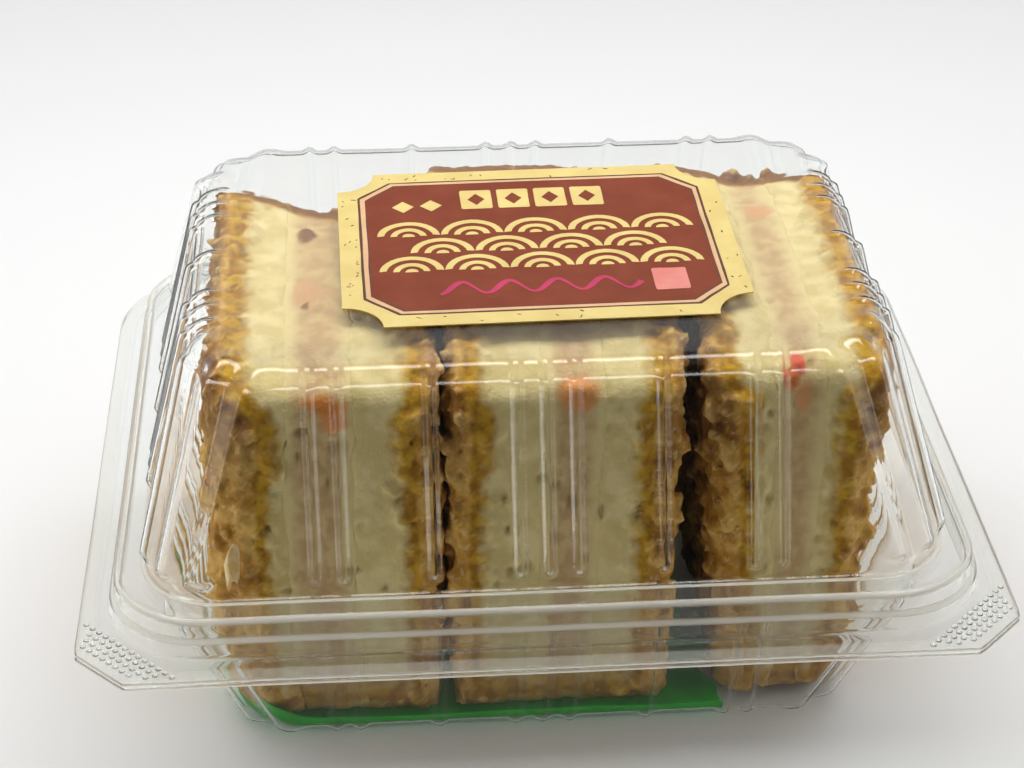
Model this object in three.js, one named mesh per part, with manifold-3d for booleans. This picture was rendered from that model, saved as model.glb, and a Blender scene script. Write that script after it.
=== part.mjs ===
// Shrimp toast pack: three quarters of fried shrimp sandwich stand on edge in a shut, clear hinged pack.
// Millimetres, +Z up, +X to the right, +Y to the back. The origin is on the table under the pack's middle.
import * as THREE from 'three';
import { mergeVertices } from 'three/addons/utils/BufferGeometryUtils.js';
import Module from 'manifold-3d';

const wasm = await Module();
wasm.setup();

// Driving dimensions
const PACK_WIDTH = 150;
const FLANGE_FRONT_Y = -65.35;
const FLANGE_BACK_Y = 64.3;
const WALL = 0.6;
const FLANGE_THICK = 0.5;
const TRAY_FLANGE_Z = 30.3;
const LID_FLANGE_Z = 31.2;
const RIM_TOP_Z = 36.9;
const LEDGE_Z = 37.9;
const PANEL_Z = 70.9;
const FLOOR_HALF = [52.5, 40.75];
const RIM_HALF = [64.5, 52.6];
const PANEL_HALF = [55.6, 40.4];
const RIB_PROUD = 1.2;
const RIB_HALF_WIDTH = 1.9;
const HINGE = { y: 64.9, z: 31.0, radius: 0.45, length: 104 };
const LINER_THICK = 0.4;
const TOAST_FLOOR_Z = 1.6;
const LAYER_GAP = 0.3;
const CRUMB_DEPTH = 0.7;
const TOP_WAVE = 0.35;
const SEAM_WAVE = 0.6;

// Rib places along the walls, from the middle outwards
const TRAY_RIBS = { front: [4.6, 17.6, 31, 35], side: [13, 18, 23] };
const LID_RIBS = { front: [4.6, 18.2, 32.5, 37], side: [13.2, 18.0, 22.8] };

const mix = (a, b, t) => a + (b - a) * t;

// Solids from geometry and back
function toSolid(geometry) {
  const bare = geometry.index ? geometry.clone() : geometry;
  bare.deleteAttribute('normal');
  bare.deleteAttribute('uv');
  const merged = mergeVertices(bare, 1e-4);
  return new wasm.Manifold(new wasm.Mesh({
    numProp: 3,
    vertProperties: new Float32Array(merged.attributes.position.array),
    triVerts: new Uint32Array(merged.index.array),
  }));
}

function toGeometry(solid) {
  const mesh = solid.getMesh();
  const geometry = new THREE.BufferGeometry();
  geometry.setAttribute('position', new THREE.BufferAttribute(new Float32Array(mesh.vertProperties), 3));
  geometry.setIndex(new THREE.BufferAttribute(new Uint32Array(mesh.triVerts), 1));
  geometry.computeVertexNormals();
  return geometry;
}

// One wall's outline points between two corners, with a rib's foot, crest and foot at each rib
function wallPoints(half, ribs, proud) {
  const places = [...ribs.map((rib) => -rib).reverse(), 0, ...ribs];
  const points = [];
  for (const place of places) {
    points.push([place - RIB_HALF_WIDTH, half, 0]);
    points.push([place, half + proud, proud]);
    points.push([place + RIB_HALF_WIDTH, half, 0]);
  }
  return points;
}

// A rounded rectangle at height z, run anticlockwise from the front left corner's end.
// Ribs stand proud of the walls and three flutes of each corner; lift raises their crests.
function ring(halfX, halfY, radius, z, { ribs = null, proud = 0, lift = 0 } = {}) {
  const points = [];
  const steps = 6;
  const addCorner = (signX, signY, fromAngle) => {
    for (let i = 0; i <= steps; i += 1) {
      const angle = fromAngle + (i / steps) * (Math.PI / 2);
      const crest = i % 2 === 1 ? 1 : 0;
      const reach = radius + crest * proud * 0.7;
      points.push([
        signX * (halfX - radius) + reach * Math.cos(angle),
        signY * (halfY - radius) + reach * Math.sin(angle),
        z + crest * lift,
      ]);
    }
  };
  const addWall = (half, list, place) => {
    if (!list) return;
    for (const [along, out, crest] of wallPoints(half, list, proud)) {
      points.push([...place(along, out), z + (crest > 0 ? lift : 0)]);
    }
  };
  addWall(halfY, ribs?.front, (along, out) => [along, -out]);
  addCorner(1, -1, -Math.PI / 2);
  addWall(halfX, ribs?.side, (along, out) => [out, along]);
  addCorner(1, 1, 0);
  addWall(halfY, ribs?.front, (along, out) => [-along, out]);
  addCorner(-1, 1, Math.PI / 2);
  addWall(halfX, ribs?.side, (along, out) => [-out, -along]);
  addCorner(-1, -1, Math.PI);
  return points;
}

// A closed solid through rings from the bottom up, with flat fans at both ends
function loft(rings) {
  const count = rings[0].length;
  const positions = rings.flat(2);
  const index = [];
  for (let level = 0; level + 1 < rings.length; level += 1) {
    for (let i = 0; i < count; i += 1) {
      const next = (i + 1) % count;
      const a = level * count + i;
      const b = level * count + next;
      index.push(a, b, b + count, a, b + count, a + count);
    }
  }
  const addCap = (level, upwards) => {
    const start = level * count;
    const height = rings[level][0][2];
    const middle = positions.length / 3;
    positions.push(0, 0, height);
    for (let i = 0; i < count; i += 1) {
      const a = start + i;
      const b = start + ((i + 1) % count);
      index.push(...(upwards ? [a, b, middle] : [b, a, middle]));
    }
  };
  addCap(0, false);
  addCap(rings.length - 1, true);
  const geometry = new THREE.BufferGeometry();
  geometry.setAttribute('position', new THREE.Float32BufferAttribute(positions, 3));
  geometry.setIndex(index);
  return toSolid(geometry);
}

// The flange's plan: two square front corners cut at 45 degrees, two round back corners
function flangePlate(z) {
  const half = PACK_WIDTH / 2;
  const cut = 8;
  const round = 20.5;
  const shape = new THREE.Shape();
  shape.moveTo(-half + cut, FLANGE_FRONT_Y);
  shape.lineTo(half - cut, FLANGE_FRONT_Y);
  shape.lineTo(half, FLANGE_FRONT_Y + cut);
  shape.absarc(half - round, FLANGE_BACK_Y - round, round, 0, Math.PI / 2, false);
  shape.absarc(-half + round, FLANGE_BACK_Y - round, round, Math.PI / 2, Math.PI, false);
  shape.lineTo(-half, FLANGE_FRONT_Y + cut);
  const plate = new THREE.ExtrudeGeometry(shape, {
    depth: FLANGE_THICK,
    bevelEnabled: false,
    curveSegments: 7,
  });
  plate.translate(0, 0, z);
  return toSolid(plate);
}

// The space inside the tray, drawn in by inset
function trayHollow(inset) {
  const floor = WALL + inset;
  const ends = [FLOOR_HALF[0] - WALL - inset, FLOOR_HALF[1] - WALL - inset];
  const rim = [RIM_HALF[0] - WALL - inset, RIM_HALF[1] - WALL - inset];
  const above = RIM_TOP_Z + 0.5;
  return loft([
    ring(ends[0] - 1.5, ends[1] - 1.5, 11.5, floor),
    ring(ends[0] - 0.3, ends[1] - 0.3, 12.3, floor + 0.8),
    ring(mix(ends[0], rim[0], 0.06), mix(ends[1], rim[1], 0.06), 12.4, floor + 2.4),
    ring(rim[0], rim[1], 11.4, above),
  ]);
}

function makeTray() {
  const rimWall = (z, t, proud) => ring(
    mix(FLOOR_HALF[0], RIM_HALF[0], t),
    mix(FLOOR_HALF[1], RIM_HALF[1], t),
    mix(13, 12, t),
    z,
    { ribs: TRAY_RIBS, proud },
  );
  const walls = loft([
    ring(FLOOR_HALF[0] - 1.2, FLOOR_HALF[1] - 1.2, 12.4, 0, { ribs: TRAY_RIBS, proud: RIB_PROUD * 0.7 }),
    ring(FLOOR_HALF[0], FLOOR_HALF[1], 13, 0.9, { ribs: TRAY_RIBS, proud: RIB_PROUD }),
    rimWall(27.5, 27.5 / RIM_TOP_Z, RIB_PROUD),
    rimWall(29.4, 29.4 / RIM_TOP_Z, 0),
    rimWall(RIM_TOP_Z, 1, 0),
  ]);
  const bead = loft([
    ring(69.2, 58.6, 14.8, TRAY_FLANGE_Z),
    ring(68.75, 58.15, 14.4, 33.8),
    ring(68.4, 57.7, 14.1, 36.3),
    ring(67.8, 57.1, 13.6, RIM_TOP_Z),
  ]);
  const groove = loft([
    ring(68.6, 58.0, 14.2, TRAY_FLANGE_Z - 0.4),
    ring(67.8, 57.1, 13.5, RIM_TOP_Z - WALL),
  ]);
  return bead.add(flangePlate(TRAY_FLANGE_Z)).subtract(groove).add(walls).subtract(trayHollow(0));
}

// The space inside the lid and its rim, drawn in by inset
function lidHollow(inset) {
  const step = (halfX, halfY, radius, z) => ring(halfX - inset, halfY - inset, radius, z);
  return loft([
    step(70.0, 59.4, 15.2, LID_FLANGE_Z - 0.2),
    step(69.55, 58.95, 14.9, 33.8),
    step(69.1, 58.5, 14.6, 34.1),
    step(68.8, 58.1, 14.4, 36.8),
    step(68.3, 57.6, 14.0, LEDGE_Z - WALL),
    step(64.9, 53.0, 12.0, LEDGE_Z - WALL),
    step(64.1, 52.1, 11.5, 38.5),
    step(56.0, 40.9, 12.9, 68.4),
    step(54.2, 39.0, 12.2, PANEL_Z - WALL - inset),
  ]);
}

function makeLid() {
  const ribbed = (halfX, halfY, radius, z, proud, lift = 0) => (
    ring(halfX, halfY, radius, z, { ribs: LID_RIBS, proud, lift })
  );
  const shell = loft([
    ribbed(70.6, 60.0, 15.8, LID_FLANGE_Z, 0),
    ribbed(70.2, 59.6, 15.5, 34.3, 0),
    ribbed(69.7, 59.1, 15.2, 34.6, 0),
    ribbed(69.4, 58.7, 15.0, 37.3, 0),
    ribbed(68.8, 58.1, 14.5, LEDGE_Z, 0),
    ribbed(65.4, 53.5, 12.5, LEDGE_Z, 0),
    ribbed(64.7, 52.7, 12.0, 38.8, 0),
    ribbed(64.2, 52.1, 12.1, 40.4, RIB_PROUD),
    ribbed(56.6, 41.5, 13.5, 68.6, RIB_PROUD),
    ribbed(PANEL_HALF[0], PANEL_HALF[1], 13.2, 70.3, RIB_PROUD * 0.8, 0.4),
    ribbed(PANEL_HALF[0] - 1.2, PANEL_HALF[1] - 1.2, 12.8, PANEL_Z, RIB_PROUD * 0.3, 0.7),
    ribbed(PANEL_HALF[0] - 3, PANEL_HALF[1] - 3, 12, PANEL_Z, 0),
  ]);
  return shell.add(flangePlate(LID_FLANGE_Z)).subtract(lidHollow(0));
}

// The fold along the back edge that the lid swings on
function makeHingeFold() {
  const fold = new THREE.CylinderGeometry(HINGE.radius, HINGE.radius, HINGE.length, 8);
  fold.rotateZ(Math.PI / 2);
  fold.translate(0, HINGE.y, HINGE.z);
  return toSolid(fold);
}

// The green film under the toasts, curled up at its left end
function makeLiner() {
  const skin = trayHollow(0.3).subtract(trayHollow(0.3 + LINER_THICK));
  const side = new THREE.Shape([
    new THREE.Vector2(-60, 0),
    new THREE.Vector2(31, 0),
    new THREE.Vector2(31, 2.3),
    new THREE.Vector2(-45, 2.3),
    new THREE.Vector2(-50, 5.6),
    new THREE.Vector2(-60, 5.6),
  ]);
  const reach = new THREE.ExtrudeGeometry(side, { depth: 84, bevelEnabled: false });
  reach.rotateX(Math.PI / 2);
  reach.translate(0, 42, 0);
  return skin.intersect(toSolid(reach));
}

// The paper label: an oblong whose corners are scooped out
function makeLabel() {
  const [width, depth, scoop, thick] = [67.2, 54, 6.5, 0.2];
  const [a, b] = [width / 2, depth / 2];
  const shape = new THREE.Shape();
  shape.moveTo(-a + scoop, -b);
  shape.absarc(a, -b, scoop, Math.PI, Math.PI / 2, true);
  shape.absarc(a, b, scoop, Math.PI * 1.5, Math.PI, true);
  shape.absarc(-a, b, scoop, Math.PI * 2, Math.PI * 1.5, true);
  shape.absarc(-a, -b, scoop, Math.PI / 2, 0, true);
  const label = new THREE.ExtrudeGeometry(shape, { depth: thick, bevelEnabled: false, curveSegments: 6 });
  label.rotateZ(THREE.MathUtils.degToRad(0.8));
  label.translate(1.9, 0.1, PANEL_Z + 0.1);
  return toSolid(label);
}

// A toast's layers from left to right
const LAYERS = ['bread_left', 'filling', 'bread_right'];

// The toasts. Left and right edges are at the foot, the middle and the top of the height.
const TOASTS = [
  {
    name: 'left',
    left: [-52.4, -54.2, -52.8],
    right: [-17.6, -17.2, -17.0],
    front: -38,
    backFoot: 37,
    backTop: [33.6, 25.5],
    top: 65.2,
    seams: [0.33, 0.63],
    seed: 1.3,
  },
  {
    name: 'middle',
    left: [-14.6, -15.0, -14.8],
    right: [20.6, 21.2, 22.6],
    front: -38,
    backFoot: 38,
    backTop: [37.0, 34.0],
    top: 65.4,
    seams: [0.4, 0.66],
    seed: 4.1,
  },
  {
    name: 'right',
    left: [31.0, 30.0, 27.6],
    right: [51.6, 54.4, 56.0],
    front: -36.5,
    backFoot: 38,
    backTop: [37.5, 31.0],
    top: 65.4,
    seams: [0.34, 0.64],
    seed: 7.7,
  },
];

// Shrimp that shows in the filling: place along X and Y, then half sizes
const SHRIMP = {
  left: [
    [-37.6, 13.9, 65.0, 2.0, 2.6, 0.8],
    [-36.6, -4.7, 65.0, 3.0, 4.0, 0.9],
    [-35.0, -37.4, 62.6, 2.6, 1.3, 3.0],
  ],
  middle: [
    [5.6, -37.4, 63.0, 3.0, 1.2, 2.6],
    [6.4, 9.0, 65.0, 2.4, 3.2, 0.8],
  ],
  right: [
    [41.2, -35.9, 62.6, 2.6, 1.3, 3.2],
    [41.8, 18.0, 65.1, 2.2, 2.8, 0.8],
  ],
};

// Uneven crust: a smooth sum of waves between about -1 and 1
function crags(a, b, seed) {
  return 0.45 * Math.sin(a * 0.41 + seed * 2.1 + 1.3 * Math.sin(b * 0.23))
    + 0.35 * Math.sin(b * 0.53 + seed * 3.7 + 1.1 * Math.sin(a * 0.31))
    + 0.2 * Math.sin((a + b) * 0.87 + seed * 5.3);
}

// Three values at the foot, the middle and the top, joined by a smooth curve
const throughThree = ([foot, middle, top], t) => (
  foot * (1 - t) * (1 - 2 * t) + middle * 4 * t * (1 - t) + top * t * (2 * t - 1)
);

// Steps from 0 to 1 that crowd a little towards both ends
function edgeSteps(count) {
  const even = Array.from({ length: count + 1 }, (_, i) => i / count);
  return even.map((t) => 0.5 * t + 0.25 * (1 - Math.cos(Math.PI * t)));
}

// Rounds the corners of a toast's side outline; cut corners stay sharper than crust corners
function roundOutline(along, up, depth, height) {
  const radius = along < depth / 2 ? (up < height / 2 ? 4 : 2.2) : (up < height / 2 ? 6 : 5);
  const nearY = THREE.MathUtils.clamp(along, radius, depth - radius);
  const nearZ = THREE.MathUtils.clamp(up, radius, height - radius);
  const reach = Math.hypot(along - nearY, up - nearZ);
  if (reach <= radius) return [along, up];
  return [nearY + ((along - nearY) * radius) / reach, nearZ + ((up - nearZ) * radius) / reach];
}

// Where a point of a toast lies: u across its thickness, along and up from its front foot edge
function toastPoint(toast, u, along, up) {
  const level = up / (toast.top - TOAST_FLOOR_Z);
  const back = mix(toast.backFoot, mix(toast.backTop[0], toast.backTop[1], u), Math.max(level, 0) ** 1.5);
  const x = mix(throughThree(toast.left, level), throughThree(toast.right, level), u);
  return [x, mix(toast.front, back, along / (toast.backFoot - toast.front)), TOAST_FLOOR_Z + up];
}

// The whole toast, with crags on its fried faces
function toastBlock(toast) {
  const [acrossCount, alongSteps, upSteps] = [3, edgeSteps(11), edgeSteps(9)];
  const box = new THREE.BoxGeometry(1, 1, 1, acrossCount, alongSteps.length - 1, upSteps.length - 1);
  const place = box.attributes.position;
  const height = toast.top - TOAST_FLOOR_Z;
  const depth = toast.backFoot - toast.front;
  for (let i = 0; i < place.count; i += 1) {
    const u = place.getX(i) + 0.5;
    const v = alongSteps[Math.round((place.getY(i) + 0.5) * (alongSteps.length - 1))];
    const w = upSteps[Math.round((place.getZ(i) + 0.5) * (upSteps.length - 1))];
    let [x, y, z] = toastPoint(toast, u, ...roundOutline(v * depth, w * height, depth, height));
    if (u === 0) x += CRUMB_DEPTH * crags(y, z, toast.seed);
    if (u === 1) x += CRUMB_DEPTH * crags(z, y, toast.seed + 5);
    if (v === 1) y += CRUMB_DEPTH * crags(x, z, toast.seed + 2);
    if (w === 1) z += TOP_WAVE * crags(x, y, toast.seed + 6);
    place.setXYZ(i, x, y, z);
  }
  return toSolid(box);
}

// The thin wavy parting between two layers, at a share of the toast's thickness.
// Both of its faces are split into triangles alike, so that it keeps its thickness.
function seamSheet(toast, share) {
  const [columns, rows, beyond] = [7, 6, 1.15];
  const height = toast.top - TOAST_FLOOR_Z;
  const depth = toast.backFoot - toast.front;
  const positions = [];
  for (const side of [-1, 1]) {
    for (let i = 0; i <= columns; i += 1) {
      for (let j = 0; j <= rows; j += 1) {
        const along = ((i / columns - 0.5) * beyond + 0.5) * depth;
        const up = ((j / rows - 0.5) * beyond + 0.5) * height;
        const [x, y, z] = toastPoint(toast, share, along, up);
        positions.push(x + (side * LAYER_GAP) / 2 + SEAM_WAVE * crags(y, z, toast.seed + share), y, z);
      }
    }
  }
  const id = (side, i, j) => (side * (columns + 1) + i) * (rows + 1) + j;
  const index = [];
  const addQuad = (a, b, c, d) => index.push(a, b, c, a, c, d);
  for (let i = 0; i < columns; i += 1) {
    for (let j = 0; j < rows; j += 1) {
      addQuad(id(1, i, j), id(1, i + 1, j), id(1, i + 1, j + 1), id(1, i, j + 1));
      index.push(id(0, i, j), id(0, i + 1, j + 1), id(0, i + 1, j));
      index.push(id(0, i, j), id(0, i, j + 1), id(0, i + 1, j + 1));
    }
  }
  for (let i = 0; i < columns; i += 1) {
    addQuad(id(0, i, 0), id(0, i + 1, 0), id(1, i + 1, 0), id(1, i, 0));
    addQuad(id(0, i + 1, rows), id(0, i, rows), id(1, i, rows), id(1, i + 1, rows));
  }
  for (let j = 0; j < rows; j += 1) {
    addQuad(id(0, 0, j + 1), id(0, 0, j), id(1, 0, j), id(1, 0, j + 1));
    addQuad(id(0, columns, j), id(0, columns, j + 1), id(1, columns, j + 1), id(1, columns, j));
  }
  const geometry = new THREE.BufferGeometry();
  geometry.setAttribute('position', new THREE.Float32BufferAttribute(positions, 3));
  geometry.setIndex(index);
  return toSolid(geometry);
}

// A toast's three layers from left to right. It is soft, so its foot takes the tray's rounded form.
function makeToast(toast) {
  const room = trayHollow(0.3 + LINER_THICK + 0.3).add(lidHollow(0.5));
  const whole = toast.seams.reduce(
    (solid, share) => solid.subtract(seamSheet(toast, share)),
    toastBlock(toast).intersect(room),
  );
  const middleX = (solid) => (solid.boundingBox().min[0] + solid.boundingBox().max[0]) / 2;
  const layers = whole.decompose().sort((a, b) => middleX(a) - middleX(b));
  for (const [x, y, z, ...half] of SHRIMP[toast.name]) {
    const bit = new THREE.IcosahedronGeometry(1, 1);
    bit.scale(...half);
    bit.translate(x, y, z);
    layers[1] = layers[1].add(toSolid(bit));
  }
  return layers;
}

const material = (color, roughness, more = {}) => (
  new THREE.MeshStandardMaterial({ color, roughness, metalness: 0, ...more })
);
const CLEAR = { transparent: true, opacity: 0.3 };
const MATERIALS = {
  clear_plastic: material(0xf2f5f4, 0.08, CLEAR),
  label_paper: material(0x8e4a35, 0.5),
  green_film: material(0x1f9a2a, 0.35),
  bread: material(0xc69b55, 0.85),
  filling: material(0xd9bd98, 0.75),
};

const pack = new THREE.Group();

function addPiece(name, solid, materialName) {
  const mesh = new THREE.Mesh(toGeometry(solid), MATERIALS[materialName]);
  mesh.name = name;
  pack.add(mesh);
}

addPiece('tray', makeTray(), 'clear_plastic');
addPiece('lid', makeLid(), 'clear_plastic');
addPiece('hinge_fold', makeHingeFold(), 'clear_plastic');
addPiece('label', makeLabel(), 'label_paper');
addPiece('liner', makeLiner(), 'green_film');
for (const toast of TOASTS) {
  makeToast(toast).forEach((layer, i) => {
    addPiece(`toast_${toast.name}_${LAYERS[i]}`, layer, i === 1 ? 'filling' : 'bread');
  });
}

export default pack;
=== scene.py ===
# %% [markdown]
# Shrimp toast is bread, shrimp paste and bread, fried whole and cut in quarters. Three quarters stand on
# edge in a clear hinged pack, with a paper label on the lid and a green film under their feet.
# The imported model comes in first and stays as it is. Its box is kept.

# %% Load the imported model
import math

import bmesh
import bpy
import numpy as np
from mathutils import Matrix


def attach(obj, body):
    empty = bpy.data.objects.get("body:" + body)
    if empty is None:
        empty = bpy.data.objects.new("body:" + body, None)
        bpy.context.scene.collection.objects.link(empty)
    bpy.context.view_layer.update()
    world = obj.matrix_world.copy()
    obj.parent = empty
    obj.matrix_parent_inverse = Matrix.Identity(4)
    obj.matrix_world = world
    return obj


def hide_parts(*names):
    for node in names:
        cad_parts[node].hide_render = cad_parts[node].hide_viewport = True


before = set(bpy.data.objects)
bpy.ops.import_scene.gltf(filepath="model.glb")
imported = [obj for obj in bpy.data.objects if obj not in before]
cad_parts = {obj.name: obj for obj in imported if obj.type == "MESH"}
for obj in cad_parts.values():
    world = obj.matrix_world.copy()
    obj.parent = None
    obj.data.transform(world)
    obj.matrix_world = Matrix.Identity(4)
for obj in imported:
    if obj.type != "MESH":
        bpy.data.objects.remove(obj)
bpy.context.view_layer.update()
MM = 0.001

# %% [markdown]
# Every shape below is worked out as arrays of points in millimetres, because a pack and its food are
# easier to think about in millimetres than in metres. One helper turns points and faces into a Blender
# mesh in metres, one joins a grid of points with faces, and one fixes a modifier's result as plain mesh.

# %% Helpers that make a piece from points and faces
def new_piece(name, points, faces, finish=None, smooth=True):
    mesh = bpy.data.meshes.new(name)
    mesh.from_pydata((np.asarray(points) * MM).tolist(), [], [list(map(int, face)) for face in faces])
    mesh.validate()
    mesh.polygons.foreach_set("use_smooth", [smooth] * len(mesh.polygons))
    piece = bpy.data.objects.new(name, mesh)
    bpy.context.scene.collection.objects.link(piece)
    if finish:
        mesh.materials.append(finish)
    return piece


def fix_modifiers(piece):
    seen = piece.evaluated_get(bpy.context.evaluated_depsgraph_get())
    mesh = bpy.data.meshes.new_from_object(seen)
    piece.modifiers.clear()
    piece.data = mesh
    return piece


def grid_faces(rows, columns, closed=False):
    """Quads between neighbours in a grid of points; a closed grid joins each row's end to its start."""
    row, column = (index.ravel() for index in np.indices((rows - 1, columns if closed else columns - 1)))
    here, beside = row * columns + column, row * columns + (column + 1) % columns
    return np.column_stack([here, beside, beside + columns, here + columns])


def turned(points, angle):
    """Points turned about the upright axis."""
    cosine, sine = math.cos(angle), math.sin(angle)
    moved = points.copy()
    moved[:, 0] = cosine * points[:, 0] - sine * points[:, 1]
    moved[:, 1] = sine * points[:, 0] + cosine * points[:, 1]
    return moved


def thicken(piece, thickness, edge_finish=None):
    wall = piece.modifiers.new("wall", "SOLIDIFY")
    wall.thickness = thickness * MM
    wall.offset = -1
    wall.use_quality_normals = True
    if edge_finish:
        piece.data.materials.append(edge_finish)
        wall.material_offset_rim = 1
    return fix_modifiers(piece)


def of_each_point(piece, name):
    flat = np.empty(len(piece.data.vertices) * 3)
    piece.data.vertices.foreach_get(name, flat)
    return flat.reshape(-1, 3)


def points_of(piece):
    return of_each_point(piece, "co") / MM


def set_points(piece, points):
    piece.data.vertices.foreach_set("co", (points * MM).ravel())
    piece.data.update()


def mark(piece, name, values):
    piece.data.attributes.new(name, "FLOAT", "POINT").data.foreach_set("value", values.astype(np.float32))


def count_triangles(piece):
    return sum(len(polygon.vertices) - 2 for polygon in piece.data.polygons)


def describe(piece):
    low, high = points_of(piece).min(axis=0), points_of(piece).max(axis=0)
    print(f"{piece.name}: {count_triangles(piece)} triangles, {np.round(low, 1)} to {np.round(high, 1)} mm")


# %% [markdown]
# Nothing in a fried crust or a blown sheet of plastic is perfectly even. Smooth noise on a lattice gives
# each point a value between -1 and 1 from its own place, so neighbours agree and every run is the same.

# %% Smooth noise for many points at once
CELL_PRIMES = (73856093, 19349663, 83492791)
SEED_PRIME = 2654435761
STIRRING_PRIME = 1274126177
NOISE_LAYERS = 3


def lattice_value(cell, seed):
    """A value for each cell of the lattice that looks random, from stirring the bits of its place."""
    x, y, z = (cell[:, axis] * prime for axis, prime in enumerate(CELL_PRIMES))
    mixed = x ^ y ^ z ^ (seed * SEED_PRIME)
    mixed = (mixed ^ (mixed >> 13)) * STIRRING_PRIME
    return ((mixed ^ (mixed >> 16)) & 0xFFFF) / 0x7FFF - 1.0


def noise(points, size, seed):
    place = np.asarray(points) / size
    cell = np.floor(place).astype(np.int64)
    part = place - cell
    part = part * part * (3 - 2 * part)
    total = np.zeros(len(place))
    for corner in np.ndindex(2, 2, 2):
        weight = np.prod(np.where(corner, part, 1 - part), axis=1)
        total += weight * lattice_value(cell + np.array(corner), seed)
    return total


def layered_noise(points, size, seed):
    return sum(noise(points, size / 2**i, seed + i) / 2**i for i in range(NOISE_LAYERS))


def smooth_rise(value, low, high):
    """0 below low, 1 above high, and a smooth rise between them."""
    share = np.clip((value - low) / (high - low), 0, 1)
    return share * share * (3 - 2 * share)


def smooth_fall(value, low, high):
    return 1 - smooth_rise(value, low, high)


# %% [markdown]
# Shader maths reads best as plain expressions. A Wire wraps one socket, and arithmetic on wires adds the
# Math nodes that work it out. A Finish is a material: its add method makes any node from its type, its
# settings and what goes into its sockets, and its colours are mixed by masks.

# %% A wire that can be added and multiplied
class Wire:
    def __init__(self, tree, socket):
        self.tree = tree
        self.socket = socket

    def maths(self, operation, *values):
        node = self.tree.nodes.new("ShaderNodeMath")
        node.operation = operation
        for socket, value in zip(node.inputs, values):
            plug(self.tree, socket, value)
        return Wire(self.tree, node.outputs[0])

    def __add__(self, other):
        return self.maths("ADD", self, other)

    def __sub__(self, other):
        return self.maths("SUBTRACT", self, other)

    def __rsub__(self, other):
        return self.maths("SUBTRACT", other, self)

    def __mul__(self, other):
        return self.maths("MULTIPLY", self, other)

    __radd__ = __add__
    __rmul__ = __mul__

    def capped(self):
        return self.maths("MINIMUM", self.maths("MAXIMUM", self, 0.0), 1.0)


def plug(tree, socket, value):
    if isinstance(value, Wire):
        tree.links.new(value.socket, socket)
    elif isinstance(value, tuple) and len(value) == 3 and socket.type == "RGBA":
        socket.default_value = (*value, 1.0)
    else:
        socket.default_value = value


# %% A material built from wires
def linear(red, green, blue):
    """A colour read off a screen, from 0 to 255, as the light it stands for."""
    shares = [channel / 255 for channel in (red, green, blue)]
    return tuple(s / 12.92 if s <= 0.04045 else ((s + 0.055) / 1.055) ** 2.4 for s in shares)


class Finish:
    def __init__(self, name):
        self.material = bpy.data.materials.new(name)
        self.material.use_nodes = True
        self.tree = self.material.node_tree
        self.tree.nodes.clear()
        self.output = self.tree.nodes.new("ShaderNodeOutputMaterial")

    def add(self, kind, settings=None, sockets=None, out=0):
        node = self.tree.nodes.new(kind)
        for key, value in (settings or {}).items():
            setattr(node, key, value)
        for key, value in (sockets or {}).items():
            plug(self.tree, node.inputs[key], value)
        return Wire(self.tree, node.outputs[out])

    def ramp(self, value, stops):
        """A colour that changes along the value, from a list of places and colours."""
        node = self.tree.nodes.new("ShaderNodeValToRGB")
        elements = node.color_ramp.elements
        while len(elements) < len(stops):
            elements.new(1.0)
        for element, (place, colour) in zip(elements, stops):
            element.position = place
            element.color = (*colour, 1.0)
        plug(self.tree, node.inputs["Fac"], value)
        return Wire(self.tree, node.outputs[0])

    def place(self):
        return self.add("ShaderNodeTexCoord", out="Object")

    def mottle(self, size, detail=2.0, seed=0.0):
        """Noise from 0 to 1 whose patches are about size millimetres across."""
        shift = (seed, seed * 0.7, seed * 1.3)
        moved = self.add("ShaderNodeVectorMath", {"operation": "ADD"}, {0: self.place(), 1: shift})
        scale = 1 / (size * MM)
        return self.add("ShaderNodeTexNoise", None, {"Vector": moved, "Scale": scale, "Detail": detail})

    def step(self, value, low, high):
        """The same smooth rise as for points, in a shader."""
        sockets = {"Value": value, "From Min": low, "From Max": high}
        return self.add("ShaderNodeMapRange", {"interpolation_type": "SMOOTHSTEP"}, sockets)

    def mix_colour(self, mask, under, over):
        return self.add("ShaderNodeMix", {"data_type": "RGBA"}, {0: mask, 6: under, 7: over}, out=2)

    def patches(self, size, limits, under, over, detail=2.0, seed=0.0):
        """One colour with patches of another that are about size millimetres across."""
        return self.mix_colour(self.step(self.mottle(size, detail, seed), *limits), under, over)

    def marked(self, name):
        return self.add("ShaderNodeAttribute", {"attribute_name": name}, out="Fac")

    def bump(self, height, depth, strength):
        sockets = {"Height": height, "Distance": depth * MM, "Strength": strength}
        return self.add("ShaderNodeBump", None, sockets)

    def solid(self, **sockets):
        named = {key.replace("_", " "): value for key, value in sockets.items()}
        return self.add("ShaderNodeBsdfPrincipled", None, named)

    def show(self, shader):
        self.tree.links.new(shader.socket, self.output.inputs["Surface"])
        return self.material


# %% [markdown]
# The photograph was taken from in front and above, turned a little to the right. Its camera was worked
# out from the straight edges and round corners of the pack. The stage is a pale sheet that curves up
# behind, and it ends a little in front of the pack.
# The light is that of a small white box with an open front. Most of it comes from a broad lamp overhead,
# so the tops of the toasts are bright and their fronts stand in their own shade. The dim white ceiling and
# walls give the plastic something to mirror, and two low strips at the sides draw pale streaks on its ribs.
# With so few lamps a plain choice between them renders faster than the light tree does.

# %% Camera
CAMERA_PLACE = (-26.891, -348.356, 258.845)
CAMERA_YAW = 0.07
CAMERA_DOWN = 0.554
CAMERA_ROLL = 0.001
FOCAL_PIXELS = 2332
PHOTO_WIDTH = 1024
SENSOR = 36.0


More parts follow.
